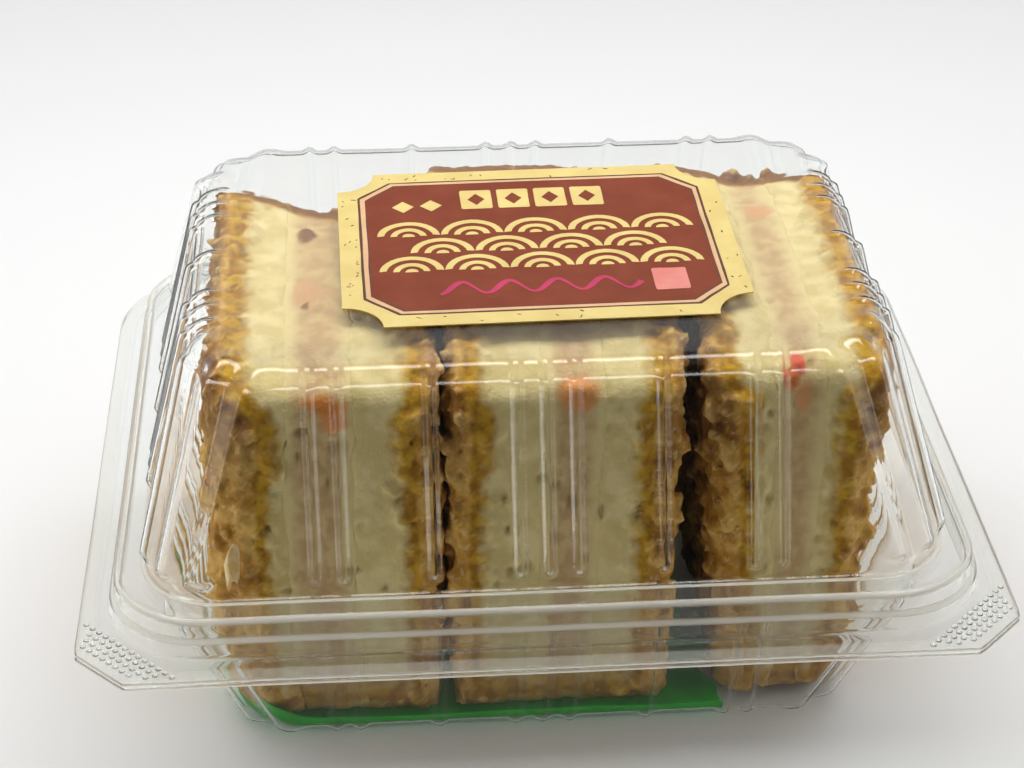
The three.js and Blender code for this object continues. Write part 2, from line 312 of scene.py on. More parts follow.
def aim_camera():
    forward = np.array([
        math.sin(CAMERA_YAW) * math.cos(CAMERA_DOWN),
        math.cos(CAMERA_YAW) * math.cos(CAMERA_DOWN),
        -math.sin(CAMERA_DOWN),
    ])
    level = np.array([math.cos(CAMERA_YAW), -math.sin(CAMERA_YAW), 0.0])
    upright = np.cross(level, forward)
    right = math.cos(CAMERA_ROLL) * level + math.sin(CAMERA_ROLL) * upright
    up = np.cross(right, forward)
    data = bpy.data.cameras.new("photo_camera")
    data.sensor_width = SENSOR
    data.lens = FOCAL_PIXELS * SENSOR / PHOTO_WIDTH
    data.clip_start = 0.01
    camera = bpy.data.objects.new("photo_camera", data)
    turn = Matrix(np.column_stack([right, up, -forward]).tolist()).to_4x4()
    camera.matrix_world = Matrix.Translation(np.array(CAMERA_PLACE) * MM) @ turn
    bpy.context.scene.collection.objects.link(camera)
    bpy.context.scene.camera = camera
    return camera


camera = aim_camera()
print("lens", round(camera.data.lens, 2), "mm")

# %% Stage
STAGE_HALF_WIDTH = 1600
STAGE_FRONT = -145
STAGE_BEND_START = 900
STAGE_BEND_RADIUS = 500
STAGE_TOP = 1300
FLOOR_COLOUR = (0.86, 0.862, 0.86)
FLOOR_SHADE = 0.97
FLOOR_PATCH = 180


def make_stage():
    profile = [(STAGE_FRONT, 0.0), (STAGE_BEND_START, 0.0)]
    for angle in np.linspace(0, math.pi / 2, 13)[1:]:
        profile.append((
            STAGE_BEND_START + STAGE_BEND_RADIUS * math.sin(angle),
            STAGE_BEND_RADIUS * (1 - math.cos(angle)),
        ))
    profile.append((STAGE_BEND_START + STAGE_BEND_RADIUS, STAGE_TOP))
    points = [(side, y, z) for y, z in profile for side in (-STAGE_HALF_WIDTH, STAGE_HALF_WIDTH)]
    paper = Finish("stage_paper")
    shade = tuple(FLOOR_SHADE * channel for channel in FLOOR_COLOUR)
    colour = paper.mix_colour(paper.mottle(FLOOR_PATCH), FLOOR_COLOUR, shade)
    finish = paper.show(paper.solid(Base_Color=colour, Roughness=0.7))
    return new_piece("stage_sheet", points, grid_faces(len(profile), 2), finish)


stage = make_stage()

# %% Lamps and room light
ROOM_LIGHT = (0.05, 0.05, 0.05)
LAMPS = {
    # name: place, where it looks, size, glow
    "ceiling": ((0, 88, 420), (0, 87, 0), (420, 130), 8.2),
    "ceiling_white": ((0, 50, 432), (0, 49, 0), (900, 620), 0.3),
    "left_wall": ((-430, 165, 230), (0, 165, 230), (460, 640), 1.1),
    "right_wall": ((430, 165, 230), (0, 165, 230), (460, 640), 0.9),
    "back_wall": ((0, 520, 260), (0, 0, 240), (900, 520), 0.55),
    "left_strip": ((-330, -190, 120), (0, 0, 60), (300, 40), 4.5),
    "right_strip": ((330, -190, 120), (0, 0, 60), (300, 40), 3.5),
}


def add_lamp(name, place, towards, size, glow):
    """A lit panel; its glow is how bright it looks, where 1 is white in the picture."""
    data = bpy.data.lights.new(name, "AREA")
    data.shape = "RECTANGLE"
    data.size = size[0] * MM
    data.size_y = size[1] * MM
    data.energy = glow * math.pi * data.size * data.size_y
    lamp = bpy.data.objects.new(name, data)
    turn = Matrix(np.column_stack(lamp_axes(np.subtract(place, towards))).tolist()).to_4x4()
    lamp.matrix_world = Matrix.Translation(np.array(place) * MM) @ turn
    lamp.visible_camera = False
    bpy.context.scene.collection.objects.link(lamp)


def lamp_axes(away):
    z_axis = away / np.linalg.norm(away)
    x_axis = np.cross((0, 1, 0), z_axis)
    x_axis /= np.linalg.norm(x_axis)
    return x_axis, np.cross(z_axis, x_axis), z_axis


for name, settings in LAMPS.items():
    add_lamp(name, *settings)

world = bpy.data.worlds.new("room")
world.use_nodes = True
world.node_tree.nodes["Background"].inputs["Color"].default_value = (*ROOM_LIGHT, 1.0)
bpy.context.scene.world = world
bpy.context.scene.view_settings.view_transform = "Standard"
SHEET_BOUNCES = 14
cycles = bpy.context.scene.cycles
cycles.max_bounces = SHEET_BOUNCES
cycles.diffuse_bounces = 3
cycles.transmission_bounces = SHEET_BOUNCES
cycles.transparent_max_bounces = 24
cycles.use_light_tree = False
cycles.caustics_reflective = False
cycles.caustics_refractive = False
print("lamps:", list(LAMPS))

# %% [markdown]
# The pack is blown from one thin clear sheet. A real lid has a panel on top, ribbed walls that lean out,
# a ledge and a stepped rim that snaps over the tray's bead. All of it is one profile carried round a
# rounded rectangle, so the lid and the tray are each lofted from a short list of rings. The ribs and the
# flutes of the corners are part of the rings, and every corner of the profile is rounded, because those
# small curves draw the bright lines that make clear plastic visible.

# %% Sizes of the pack, as in the solid model
PACK_WIDTH = 150
FLANGE_FRONT_Y = -65.35
FLANGE_BACK_Y = 64.3
FLANGE_FRONT_CUT = 8
FLANGE_BACK_ROUND = 20.5
TRAY_FLANGE_Z = 30.3
LID_FLANGE_Z = 31.2
RIM_TOP_Z = 36.9
LEDGE_Z = 37.9
PANEL_Z = 70.9
FLOOR_HALF = (52.5, 40.75)
RIM_HALF = (64.5, 52.6)
TRAY_CORNER = 13
RIB_PROUD = 1.2
RIB_HALF_WIDTH = 1.6
SHEET_THICK = 0.42
TRAY_RIBS = {"front": (4.6, 17.6, 31, 35), "side": (13, 18, 23)}
LID_RIBS = {"front": (4.6, 18.2, 32.5, 37), "side": (13.2, 18.0, 22.8)}
CORNER_STEPS = 24
FLUTES = 3
FLUTE_SHARE = 1.15
RIB_STEPS = 7
FLAT_STEP = 2.6
FLAT_MARGIN = 1.0
TAIL_SHARES = (0.3, 0.65)
LONGEST_STEP = 3.5
FILLET_STEPS = 4

# %% One ring round the pack
def hump(distance, half_width):
    return 0.5 + 0.5 * np.cos(np.pi * np.clip(distance / half_width, -1, 1))


def wall_stations(ribs):
    """Places along one wall that follow every rib closely and the flats between them loosely."""
    across = np.linspace(-RIB_HALF_WIDTH, RIB_HALF_WIDTH, RIB_STEPS)
    close = np.concatenate([centre + across for centre in both_sides(ribs)])
    loose = np.arange(close.min(), close.max(), FLAT_STEP)
    between = [place for place in loose if np.abs(close - place).min() > FLAT_MARGIN]
    return np.unique(np.round(np.concatenate([close, between]), 3))


def both_sides(ribs):
    return sorted({0.0, *ribs, *(-rib for rib in ribs)})


def wall_line(half, straight, ribs, proud):
    """Along, outward and crest values of one wall, from its left end to its right end."""
    inner = wall_stations(ribs)
    tail = inner.max() + (straight - inner.max()) * np.array(TAIL_SHARES)
    along = np.concatenate([-tail[::-1], inner, tail])
    crest = np.minimum(sum(hump(along - rib, RIB_HALF_WIDTH) for rib in both_sides(ribs)), 1.0)
    return along, half + proud * crest, crest


def ring(half_x, half_y, radius, z, proud=0.0, lift=0.0, ribs=LID_RIBS):
    """A rounded rectangle of points, anticlockwise from the left end of the front wall."""
    parts = []
    theta = np.linspace(0, np.pi / 2, CORNER_STEPS + 1)
    flute = np.sin(FLUTES * 2 * theta) ** 2
    reach = radius + flute * proud * FLUTE_SHARE
    for quarter in range(4):
        front = quarter % 2 == 0
        half, other = (half_y, half_x) if front else (half_x, half_y)
        along, out, crest = wall_line(half, other - radius, ribs["front" if front else "side"], proud)
        wall = np.column_stack([along, -out, z + lift * crest])
        angle = theta - np.pi / 2
        corner = np.column_stack([
            other - radius + reach * np.cos(angle),
            -(half - radius) + reach * np.sin(angle),
            z + lift * flute,
        ])
        parts.append(turned(np.vstack([wall, corner]), quarter * math.pi / 2))
    return np.vstack(parts)


print("points in one ring:", len(ring(64, 52, 12, 40, RIB_PROUD)))

# %% Rounding the corners of a profile
def rounded_profile(corners):
    """Rings' sizes along a profile whose corners are rounded by their last value, in millimetres."""
    sizes = np.array([corner[:-1] for corner in corners], float)
    fillets = [corner[-1] for corner in corners]
    rows = [sizes[0]]
    for i in range(1, len(sizes) - 1):
        before, here, after = sizes[i - 1], sizes[i], sizes[i + 1]
        cut_in = min(fillets[i], 0.45 * profile_length(before, here))
        cut_out = min(fillets[i], 0.45 * profile_length(here, after))
        start = here + (before - here) * cut_in / profile_length(before, here)
        end = here + (after - here) * cut_out / profile_length(here, after)
        rows += [
            (1 - t) ** 2 * start + 2 * t * (1 - t) * here + t * t * end
            for t in np.linspace(0, 1, FILLET_STEPS + 1)
        ]
    rows.append(sizes[-1])
    return split_long_steps(rows)


def profile_length(a, b):
    return math.hypot(max(abs(a[0] - b[0]), abs(a[1] - b[1])), a[3] - b[3])


def split_long_steps(rows):
    split = [rows[0]]
    for before, after in zip(rows, rows[1:]):
        count = max(1, math.ceil(profile_length(before, after) / LONGEST_STEP))
        split += [before + (after - before) * i / count for i in range(1, count + 1)]
    return split


# %% The flange round the rim
def flange_limits():
    """Straight lines that hold in the flange's outline: outward direction and distance from the middle."""
    half = PACK_WIDTH / 2
    lines = [((1, 0), half), ((-1, 0), half), ((0, -1), -FLANGE_FRONT_Y), ((0, 1), FLANGE_BACK_Y)]
    slant = math.sqrt(0.5)
    for side in (-1, 1):
        lines.append(((side * slant, -slant), slant * (half - FLANGE_FRONT_Y - FLANGE_FRONT_CUT)))
        centre = (side * (half - FLANGE_BACK_ROUND), FLANGE_BACK_Y - FLANGE_BACK_ROUND)
        for angle in np.radians(np.arange(2, 90, 2)):
            away = (side * math.cos(angle), math.sin(angle))
            lines.append((away, centre[0] * away[0] + centre[1] * away[1] + FLANGE_BACK_ROUND))
    return np.array([line[0] for line in lines]), np.array([line[1] for line in lines])


FLANGE_AWAY, FLANGE_DISTANCE = flange_limits()


def flange_edge(foot):
    """Where the flange ends outwards of each point of the rim's foot."""
    ahead = np.roll(foot, -1, axis=0)[:, :2] - np.roll(foot, 1, axis=0)[:, :2]
    outward = np.column_stack([ahead[:, 1], -ahead[:, 0]])
    outward /= np.linalg.norm(outward, axis=1)[:, None]
    facing = outward @ FLANGE_AWAY.T
    room = FLANGE_DISTANCE - foot[:, :2] @ FLANGE_AWAY.T
    reach = np.where(facing > 1e-3, room / np.maximum(facing, 1e-3), np.inf).min(axis=1)
    edge = foot.copy()
    edge[:, :2] += outward * reach[:, None]
    return edge


FLANGE_SHARES = (0, 0.06, 0.2, 0.35, 0.5, 0.65, 0.93)
TAB_DROP = 1.7
TAB_START = 92
TAB_LENGTH = 9


def flange_rings(foot, drop):
    """Rings from the cut edge in to the rim's foot; the two front corners turn down by the drop."""
    edge = flange_edge(foot)
    rings = []
    for share in FLANGE_SHARES:
        row = edge + (foot - edge) * share
        towards_corner = (np.abs(row[:, 0]) - row[:, 1]) / math.sqrt(2)
        row[:, 2] -= drop * smooth_rise(towards_corner, TAB_START, TAB_START + TAB_LENGTH) ** 1.3
        rings.append(row)
    return rings


# %% Lofting a shell from its rings
def loft_shell(rings):
    """A sheet through the rings, closed by a fan that shrinks the last ring towards its middle."""
    last = rings[-1]
    middle = np.array([0, 0, last[:, 2].min()])
    rings = [*rings, *[middle + (last - middle) * share for share in (0.8, 0.6, 0.4, 0.2)]]
    count = len(last)
    points = np.vstack([*rings, middle[None, :]])
    start = (len(rings) - 1) * count
    fan = [(start + i, start + (i + 1) % count, len(points) - 1) for i in range(count)]
    return points, [*grid_faces(len(rings), count, closed=True), *fan]


RIDGE_TURN = (3, 14)
RIDGE_END_Z = (50, 60)
SHOULDER_FROM_Z = (33.7, 34.1)
SHOULDER_TO_Z = (34.8, 35.2)
SHOULDER_MARK = 0.9
FLANGE_MARK = 0.61
MARKED_FLANGE_RINGS = 5


def bend_marks(rings, points):
    """How milky the sheet is: most on the rim's tight ridges and shoulder, a little on the flange."""
    stacked = np.stack(rings)
    inward = -np.diff(np.hypot(stacked[:, :, 0], stacked[:, :, 1]), axis=0)
    upward = np.diff(stacked[:, :, 2], axis=0)
    slope = np.degrees(np.arctan2(upward, inward))
    count = len(rings[0])
    bend = np.zeros(len(points))
    bend[count:count * (len(rings) - 1)] = smooth_rise(slope[:-1] - slope[1:], *RIDGE_TURN).ravel()
    z = points[:, 2]
    shoulder = SHOULDER_MARK * smooth_rise(z, *SHOULDER_FROM_Z) * smooth_fall(z, *SHOULDER_TO_Z)
    bend = np.maximum(bend * smooth_fall(z, *RIDGE_END_Z), shoulder)
    bend[:count * MARKED_FLANGE_RINGS] = FLANGE_MARK
    return bend


WARP_DEPTH = 0.12


def warp_sheet(points):
    """Blown sheet is never quite flat: long low waves bend what it reflects."""
    moved = points.copy()
    for axis, long_wave, short_wave in ((0, 23, 9), (1, 19, 8)):
        seed = 11 + axis
        waves = noise(points, long_wave, seed) + 0.25 * noise(points, short_wave, seed + 2)
        moved[:, axis] += WARP_DEPTH * waves
    return moved


# %% Grip dots on the two front corners
DOT_ROWS = 4
DOTS_EACH_WAY = 7
DOT_PITCH = 1.55
DOT_ROW_SHARE = 0.86
DOT_START = 1.5
DOT_MARGIN = 1.2
DOT_HALF = (0.52, 0.52, 0.34)
RIM_CORNER = (54.8, 44.2)
RIM_CORNER_RADIUS = 15.8


def ball(divisions):
    mesh = bmesh.new()
    bmesh.ops.create_icosphere(mesh, subdivisions=divisions + 1, radius=1.0)
    points = np.array([vertex.co[:] for vertex in mesh.verts])
    faces = np.array([[vertex.index for vertex in face.verts] for face in mesh.faces])
    mesh.free()
    return points, faces


def grip_dots(z):
    shape, shape_faces = ball(1)
    points, faces, placed = [], [], 0
    slant = math.sqrt(0.5)
    for side in (-1, 1):
        for row in range(DOT_ROWS):
            away = RIM_CORNER_RADIUS + DOT_START + row * DOT_PITCH * DOT_ROW_SHARE
            for i in range(-DOTS_EACH_WAY, DOTS_EACH_WAY + 1):
                sideways = (i + 0.5 * (row % 2)) * DOT_PITCH
                x = RIM_CORNER[0] + slant * (away + sideways)
                y = -RIM_CORNER[1] - slant * (away - sideways)
                if x > PACK_WIDTH / 2 - DOT_MARGIN or y < FLANGE_FRONT_Y + DOT_MARGIN:
                    continue
                points.append(shape * DOT_HALF + np.array([side * x, y, z]))
                faces.append(shape_faces + placed * len(shape))
                placed += 1
    return np.vstack(points), np.vstack(faces), placed


# %% [markdown]
# Clear plastic is glass to the eye: it bends and mirrors light, most of all where it is seen edge on.
# The rim's tight bends and its shoulder go milky when the sheet is drawn, and the two flanges look pale
# where they lie on each other, so some light scatters there. Real glass throws hard shadows in a renderer
# unless lamps are let through, so shadow rays and light that has already bounced pass straight through a
# faintly tinted sheet.

# %% Clear plastic
PLASTIC_BEND = 1.34
PLASTIC_TINT = (0.99, 0.995, 0.992)
SHADOW_TINT = (0.97, 0.974, 0.97)
MILK_WHITE = (0.99, 0.965, 0.89)
BEND_MILK = 0.48


def clear_plastic():
    finish = Finish("clear_plastic")
    sockets = {"Color": PLASTIC_TINT, "Roughness": 0.02, "IOR": PLASTIC_BEND}
    glass = finish.add("ShaderNodeBsdfGlass", None, sockets)
    ridge = finish.step(finish.marked("bend"), 0.5, 1.0) * BEND_MILK
    seen = finish.add("ShaderNodeMixShader", None, {0: ridge, 1: glass, 2: milky(finish, 0.5)})
    passing = finish.add("ShaderNodeBsdfTransparent", None, {"Color": SHADOW_TINT})
    shadow = finish.add("ShaderNodeLightPath", out="Is Shadow Ray")
    bounced = finish.add("ShaderNodeLightPath", out="Is Diffuse Ray")
    either = (shadow + bounced).capped()
    return finish.show(finish.add("ShaderNodeMixShader", None, {0: either, 1: seen, 2: passing}))


def milky(finish, frosted):
    """Light scattered by rough plastic: partly let through, partly thrown back."""
    glow = finish.add("ShaderNodeBsdfTranslucent", None, {"Color": MILK_WHITE})
    frost = finish.add("ShaderNodeBsdfDiffuse", None, {"Color": MILK_WHITE})
    return finish.add("ShaderNodeMixShader", None, {0: frosted, 1: glow, 2: frost})


def cut_edge():
    """Where a die has cut the sheet, its edge is rough and scatters light, so it reads as a pale line."""
    finish = Finish("plastic_cut_edge")
    return finish.show(milky(finish, 0.4))


CLEAR = clear_plastic()
CUT_EDGE = cut_edge()

# %% The lid
LID_PROFILE = [
    # half width, half depth, corner radius, height, how far ribs stand out and rise, rounding
    (70.6, 60.0, 15.8, LID_FLANGE_Z + SHEET_THICK, 0, 0, 0.5),
    (70.6, 60.0, 15.8, LID_FLANGE_Z + SHEET_THICK + 0.7, 0, 0, 0.5),
    (70.2, 59.6, 15.5, 34.2, 0, 0, 0.4),
    (69.6, 59.0, 15.1, 34.7, 0, 0, 0.4),
    (69.3, 58.6, 14.9, LEDGE_Z, 0, 0, 0.95),
    (65.0, 53.1, 12.3, LEDGE_Z, 0, 0, 1.0),
    (64.5, 52.5, 12.1, 39.0, 0, 0, 0.5),
    (64.2, 52.1, 12.1, 40.4, RIB_PROUD, 0, 0.6),
    (57.0, 41.9, 13.8, 67.4, RIB_PROUD, 0, 0.6),
    (56.5, 41.3, 13.8, 68.7, RIB_PROUD, 0.1, 0.45),
    (55.6, 40.4, 13.7, 69.0, RIB_PROUD * 0.9, 0.2, 0.4),
    (55.2, 39.9, 13.6, 69.9, RIB_PROUD * 0.7, 0.4, 0.4),
    (53.5, 38.2, 13.2, PANEL_Z, RIB_PROUD * 0.3, 0.6, 1.4),
    (50.6, 35.4, 10.4, PANEL_Z, 0, 0, 0.5),
]


def make_shell(name, rings):
    points, faces = loft_shell(rings)
    shell = new_piece(name, warp_sheet(points), faces, CLEAR)
    mark(shell, "bend", bend_marks(rings, points))
    return thicken(shell, SHEET_THICK, CUT_EDGE)


def make_lid():
    rings = [ring(*row) for row in rounded_profile(LID_PROFILE)]
    lid = make_shell("lid_shell", [*flange_rings(rings[0], 0), *rings])
    dots, dot_faces, placed = grip_dots(LID_FLANGE_Z + SHEET_THICK)
    join(lid, new_piece("grip_dots", dots, dot_faces, CLEAR))
    print("grip dots:", placed)
    return lid


def join(target, other):
    chosen = [target, other]
    with bpy.context.temp_override(
        active_object=target, object=target, selected_objects=chosen, selected_editable_objects=chosen
    ):
        bpy.ops.object.join()


lid = make_lid()
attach(lid, "lid_body")
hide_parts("lid")
describe(lid)

# %% The tray
def tray_wall(z, proud):
    """The inner side of the tray's leaning wall at a height."""
    share = z / RIM_TOP_Z
    half = [foot + (rim - foot) * share - SHEET_THICK for foot, rim in zip(FLOOR_HALF, RIM_HALF)]
    return (*half, TRAY_CORNER - share - SHEET_THICK, z, proud, 0)


TRAY_PROFILE = [
    # the same values as for the lid
    (69.2, 58.6, 14.8, TRAY_FLANGE_Z + SHEET_THICK, 0, 0, 0.4),
    (69.1, 58.5, 14.7, TRAY_FLANGE_Z + SHEET_THICK + 0.6, 0, 0, 0.3),
    (68.4, 57.7, 14.1, RIM_TOP_Z - 0.3, 0, 0, 0.8),
    (67.6, 56.9, 13.6, RIM_TOP_Z, 0, 0, 1.1),
    (64.3, 52.4, 12.0, RIM_TOP_Z, 0, 0, 1.2),
    (*tray_wall(29.4, 0), 0.8),
    (*tray_wall(27.5, RIB_PROUD), 0.8),
    (*tray_wall(1.6, RIB_PROUD), 0.7),
    (51.4, 39.6, 12.2, SHEET_THICK, RIB_PROUD * 0.7, 0, 0.7),
    (49.0, 37.2, 11.0, SHEET_THICK, 0, 0, 0.4),
]


def make_tray():
    rings = [ring(*row, ribs=TRAY_RIBS) for row in rounded_profile(TRAY_PROFILE)]
    return make_shell("tray_shell", [*flange_rings(rings[0], TAB_DROP), *rings])


tray = make_tray()
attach(tray, "tray_body")
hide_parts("tray")
describe(tray)

# %% [markdown]
# Each toast is a quarter of a fried sandwich, stood on edge. Its two wide faces, its back and its foot
# were in the oil and carry coarse crumbs; its front and its top are knife cuts that show both slices of
# bread and the filling. The block has the solid model's outline, and its crumbs are small jagged flakes
# strewn over the fried faces. A voxel remesh melts block and flakes into one closed skin, as batter does.

# %% Sizes of the toasts, as in the solid model
TOAST_FLOOR_Z = 1.6
FRONT_ROUNDS = (1.8, 4)
BACK_ROUNDS = (6, 3.2)
CRUMB_DEPTH = 0.7
TOP_WAVE = 0.35
TOP_RISE = 3.0
SWELL_HEIGHT = 14
SWELL_SHARES = (0.0, 0.2)
BACK_SHARES = (0.65, 1.0)
BACK_SINK = 0.45
SEAM_WAVE = 0.6
TOASTS = {
    "left": {
        "left": (-52.4, -54.2, -52.8), "right": (-17.6, -17.2, -17.0), "front": -38, "back_foot": 37,
        "back_top": (33.6, 22.5), "top": 65.2, "seams": (0.33, 0.63), "seed": 1.3, "rounds": (6.0, 1.5),
        "bend": 1.8, "dip": (0.75, 0.6, 2.4),
    },
    "middle": {
        "left": (-14.6, -15.0, -14.8), "right": (20.6, 21.2, 22.6), "front": -38, "back_foot": 38,
        "back_top": (39.5, 38.0), "top": 65.4, "seams": (0.4, 0.66), "seed": 4.1, "rounds": (1.5, 2.2),
        "bend": 1.0, "dip": (0.85, 0.3, 1.0),
    },
    "right": {
        "left": (31.0, 28.8, 26.6), "right": (51.6, 54.4, 56.0), "front": -36.5, "back_foot": 38,
        "back_top": (37.5, 31.0), "top": 65.4, "seams": (0.36, 0.65), "seed": 7.7, "rounds": (2.6, 3.0),
        "bend": 1.0, "dip": (0.48, 0.28, 2.4),
    },
}
LAYERS = ("bread_left", "filling", "bread_right")
VOXEL = 0.66
BLOCK_STEP = 1.6
LAYER_OVERLAP = 0.35


# %% Where a point of a toast lies
def toast_size(toast):
    """Width half way up, depth at the foot, and height."""
    width = toast["right"][1] - toast["left"][1]
    return width, toast["back_foot"] - toast["front"], toast["top"] - TOAST_FLOOR_Z


def crags(a, b, seed):
    return (
        0.45 * np.sin(a * 0.41 + seed * 2.1 + 1.3 * np.sin(b * 0.23))
        + 0.35 * np.sin(b * 0.53 + seed * 3.7 + 1.1 * np.sin(a * 0.31))
        + 0.2 * np.sin((a + b) * 0.87 + seed * 5.3)
    )


def through_three(values, t):
    foot, middle, top = values
    return foot * (1 - t) * (1 - 2 * t) + middle * 4 * t * (1 - t) + top * t * (2 * t - 1)


def toast_sides(toast, z):
    level = (z - TOAST_FLOOR_Z) / (toast["top"] - TOAST_FLOOR_Z)
    return through_three(toast["left"], level), through_three(toast["right"], level)


def toast_back(toast, u, z):
    level = np.clip((z - TOAST_FLOOR_Z) / (toast["top"] - TOAST_FLOOR_Z), 0, 1)
    across = 1 - (1 - np.clip(u, 0, 1)) ** toast["bend"]
    top = toast["back_top"][0] + (toast["back_top"][1] - toast["back_top"][0]) * across
    return toast["back_foot"] + (top - toast["back_foot"]) * level**1.5


def round_outline(along, up, depth, height):
    """Pulls the corners of the side outline in: sharp at the cut corners, softer at the crust."""
    low = up < height / 2
    radius = np.where(along < depth / 2, np.where(low, *FRONT_ROUNDS), np.where(low, *BACK_ROUNDS))
    near_y = np.clip(along, radius, depth - radius)
    near_z = np.clip(up, radius, height - radius)
    reach = np.maximum(np.hypot(along - near_y, up - near_z), 1e-6)
    pull = np.minimum(radius / reach, 1)
    return near_y + (along - near_y) * pull, near_z + (up - near_z) * pull


def top_rise(toast, u, along, up):
    """The cut top is not flat: it swells behind its front edge and sinks again, with a dip, at the crust."""
    depth, height = toast_size(toast)[1:]
    centre, half_width, deep = toast["dip"]
    back = smooth_rise(along / depth, *BACK_SHARES)
    swell = TOP_RISE * smooth_rise(along / depth, *SWELL_SHARES) * (1 - BACK_SINK * back)
    swell = swell - deep * back * hump(u - centre, half_width)
    return swell * smooth_rise(up, height - SWELL_HEIGHT, height)


def corner_inset(toast, side, y):
    """How far an upright front corner is rounded away; side 0 is the left one and side 1 the right."""
    radius = toast["rounds"][side]
    into = np.clip(toast["front"] + radius - y, 0, radius)
    return radius - np.sqrt(radius**2 - into**2)


def edge_plane(toast, share, y, z):
    """The x of a seam, or of an outer face where share is 0 or 1."""
    left, right = toast_sides(toast, z)
    seed = toast["seed"]
    if share == 0:
        return left + corner_inset(toast, 0, y) + CRUMB_DEPTH * crags(y, z, seed)
    if share == 1:
        return right - corner_inset(toast, 1, y) + CRUMB_DEPTH * crags(z, y, seed + 5)
    return left + (right - left) * share + SEAM_WAVE * crags(y, z, seed + share)


# %% One layer's block
def unit_box(counts):
    """The surface of a unit cube on a lattice, as points and faces that point outwards."""
    points, faces = [], []
    for axis in range(3):
        a, b = (axis + 1) % 3, (axis + 2) % 3
        for end in (0, 1):
            start = sum(len(part) for part in points)
            i, j = np.meshgrid(np.arange(counts[a] + 1), np.arange(counts[b] + 1), indexing="ij")
            side = np.empty((i.size, 3))
            side[:, axis] = end
            side[:, a] = i.ravel() / counts[a]
            side[:, b] = j.ravel() / counts[b]
            points.append(side)
            row = counts[b] + 1
            corner = start + (np.arange(counts[a])[:, None] * row + np.arange(counts[b])[None, :]).ravel()
            quad = np.column_stack([corner, corner + row, corner + row + 1, corner + 1])
            faces.append(quad if end else quad[:, ::-1])
    return np.vstack(points), np.vstack(faces)


def layer_block(toast, low, high):
    width, depth, height = toast_size(toast)
    counts = [max(3, round(size / BLOCK_STEP)) for size in (width * (high - low), depth, height)]
    unit, faces = unit_box(counts)
    along, up = round_outline(unit[:, 1] * depth, unit[:, 2] * height, depth, height)
    u = low + (high - low) * unit[:, 0]
    z = TOAST_FLOOR_Z + up + top_rise(toast, u, along, up)
    back = toast_back(toast, u, z)
    y = toast["front"] + (back - toast["front"]) * along / depth
    x_low = edge_plane(toast, low, y, z) - LAYER_OVERLAP * (low > 0)
    x_high = edge_plane(toast, high, y, z) + LAYER_OVERLAP * (high < 1)
    x = x_low + (x_high - x_low) * unit[:, 0]
    y = y + CRUMB_DEPTH * crags(x, z, toast["seed"] + 2) * (unit[:, 1] == 1)
    z = z + TOP_WAVE * crags(x, y, toast["seed"] + 6) * (unit[:, 2] == 1)
    return np.column_stack([x, y, z]), faces


# %% Flakes of crumb
CRUMBS_PER_SQUARE_MM = 0.30
CRUMB_SIZES = (0.6, 2.1)
CRUMB_FLATNESS = (0.45, 0.85)
CRUMB_TILT = 0.55
EDGE_CRUMBS_PER_MM = 3.4
EDGE_CRUMB_REACH = 5.6
EDGE_CRUMB_SIZES = (0.55, 1.9)
TOP_CRUMB_MARGIN = 3.5
BACK_CRUMB_SHARE = 1.2


def turns_about(axis, angle):
    """Rotation matrices about one of the three axes, one for each angle."""
    a, b = (axis + 1) % 3, (axis + 2) % 3
    turns = np.zeros((len(angle), 3, 3))
    turns[:, axis, axis] = 1
    turns[:, a, a] = turns[:, b, b] = np.cos(angle)
    turns[:, b, a] = np.sin(angle)
    turns[:, a, b] = -np.sin(angle)
    return turns


def random_turns(draw, count):
    """Any turn about the flake's own axis, then a small tilt."""
    spin = draw.uniform(0, 2 * np.pi, count)
    lean = draw.normal(0, CRUMB_TILT, (count, 2))
    return turns_about(1, lean[:, 1]) @ turns_about(0, lean[:, 0]) @ turns_about(2, spin)


def flakes(draw, places, outward, sizes=CRUMB_SIZES):
    """Jagged flat flakes at the places, lying across the outward direction."""
    count = len(places)
    small, large = sizes
    shape, shape_faces = ball(0)
    size = small + (large - small) * draw.random(count) ** 2.2
    stretch = draw.uniform(0.7, 1.3, count)
    halves = np.column_stack([size * stretch, size / stretch, size * draw.uniform(*CRUMB_FLATNESS, count)])
    jagged = shape[None] * (1 + draw.uniform(-0.3, 0.3, (count, len(shape), 1)))
    tilted = np.einsum("nij,nkj->nki", random_turns(draw, count), jagged * halves[:, None, :])
    points = tilted @ flake_axes(outward) + places[:, None, :]
    faces = shape_faces[None] + (np.arange(count) * len(shape))[:, None, None]
    return points.reshape(-1, 3), faces.reshape(-1, 3)


def flake_axes(outward):
    """Rows are the flake's length, width and thickness directions."""
    outward = np.array(outward, float)
    side = np.cross(outward, (0.13, 0.31, 0.94))
    side /= np.linalg.norm(side)
    return np.stack([side, np.cross(outward, side), outward])


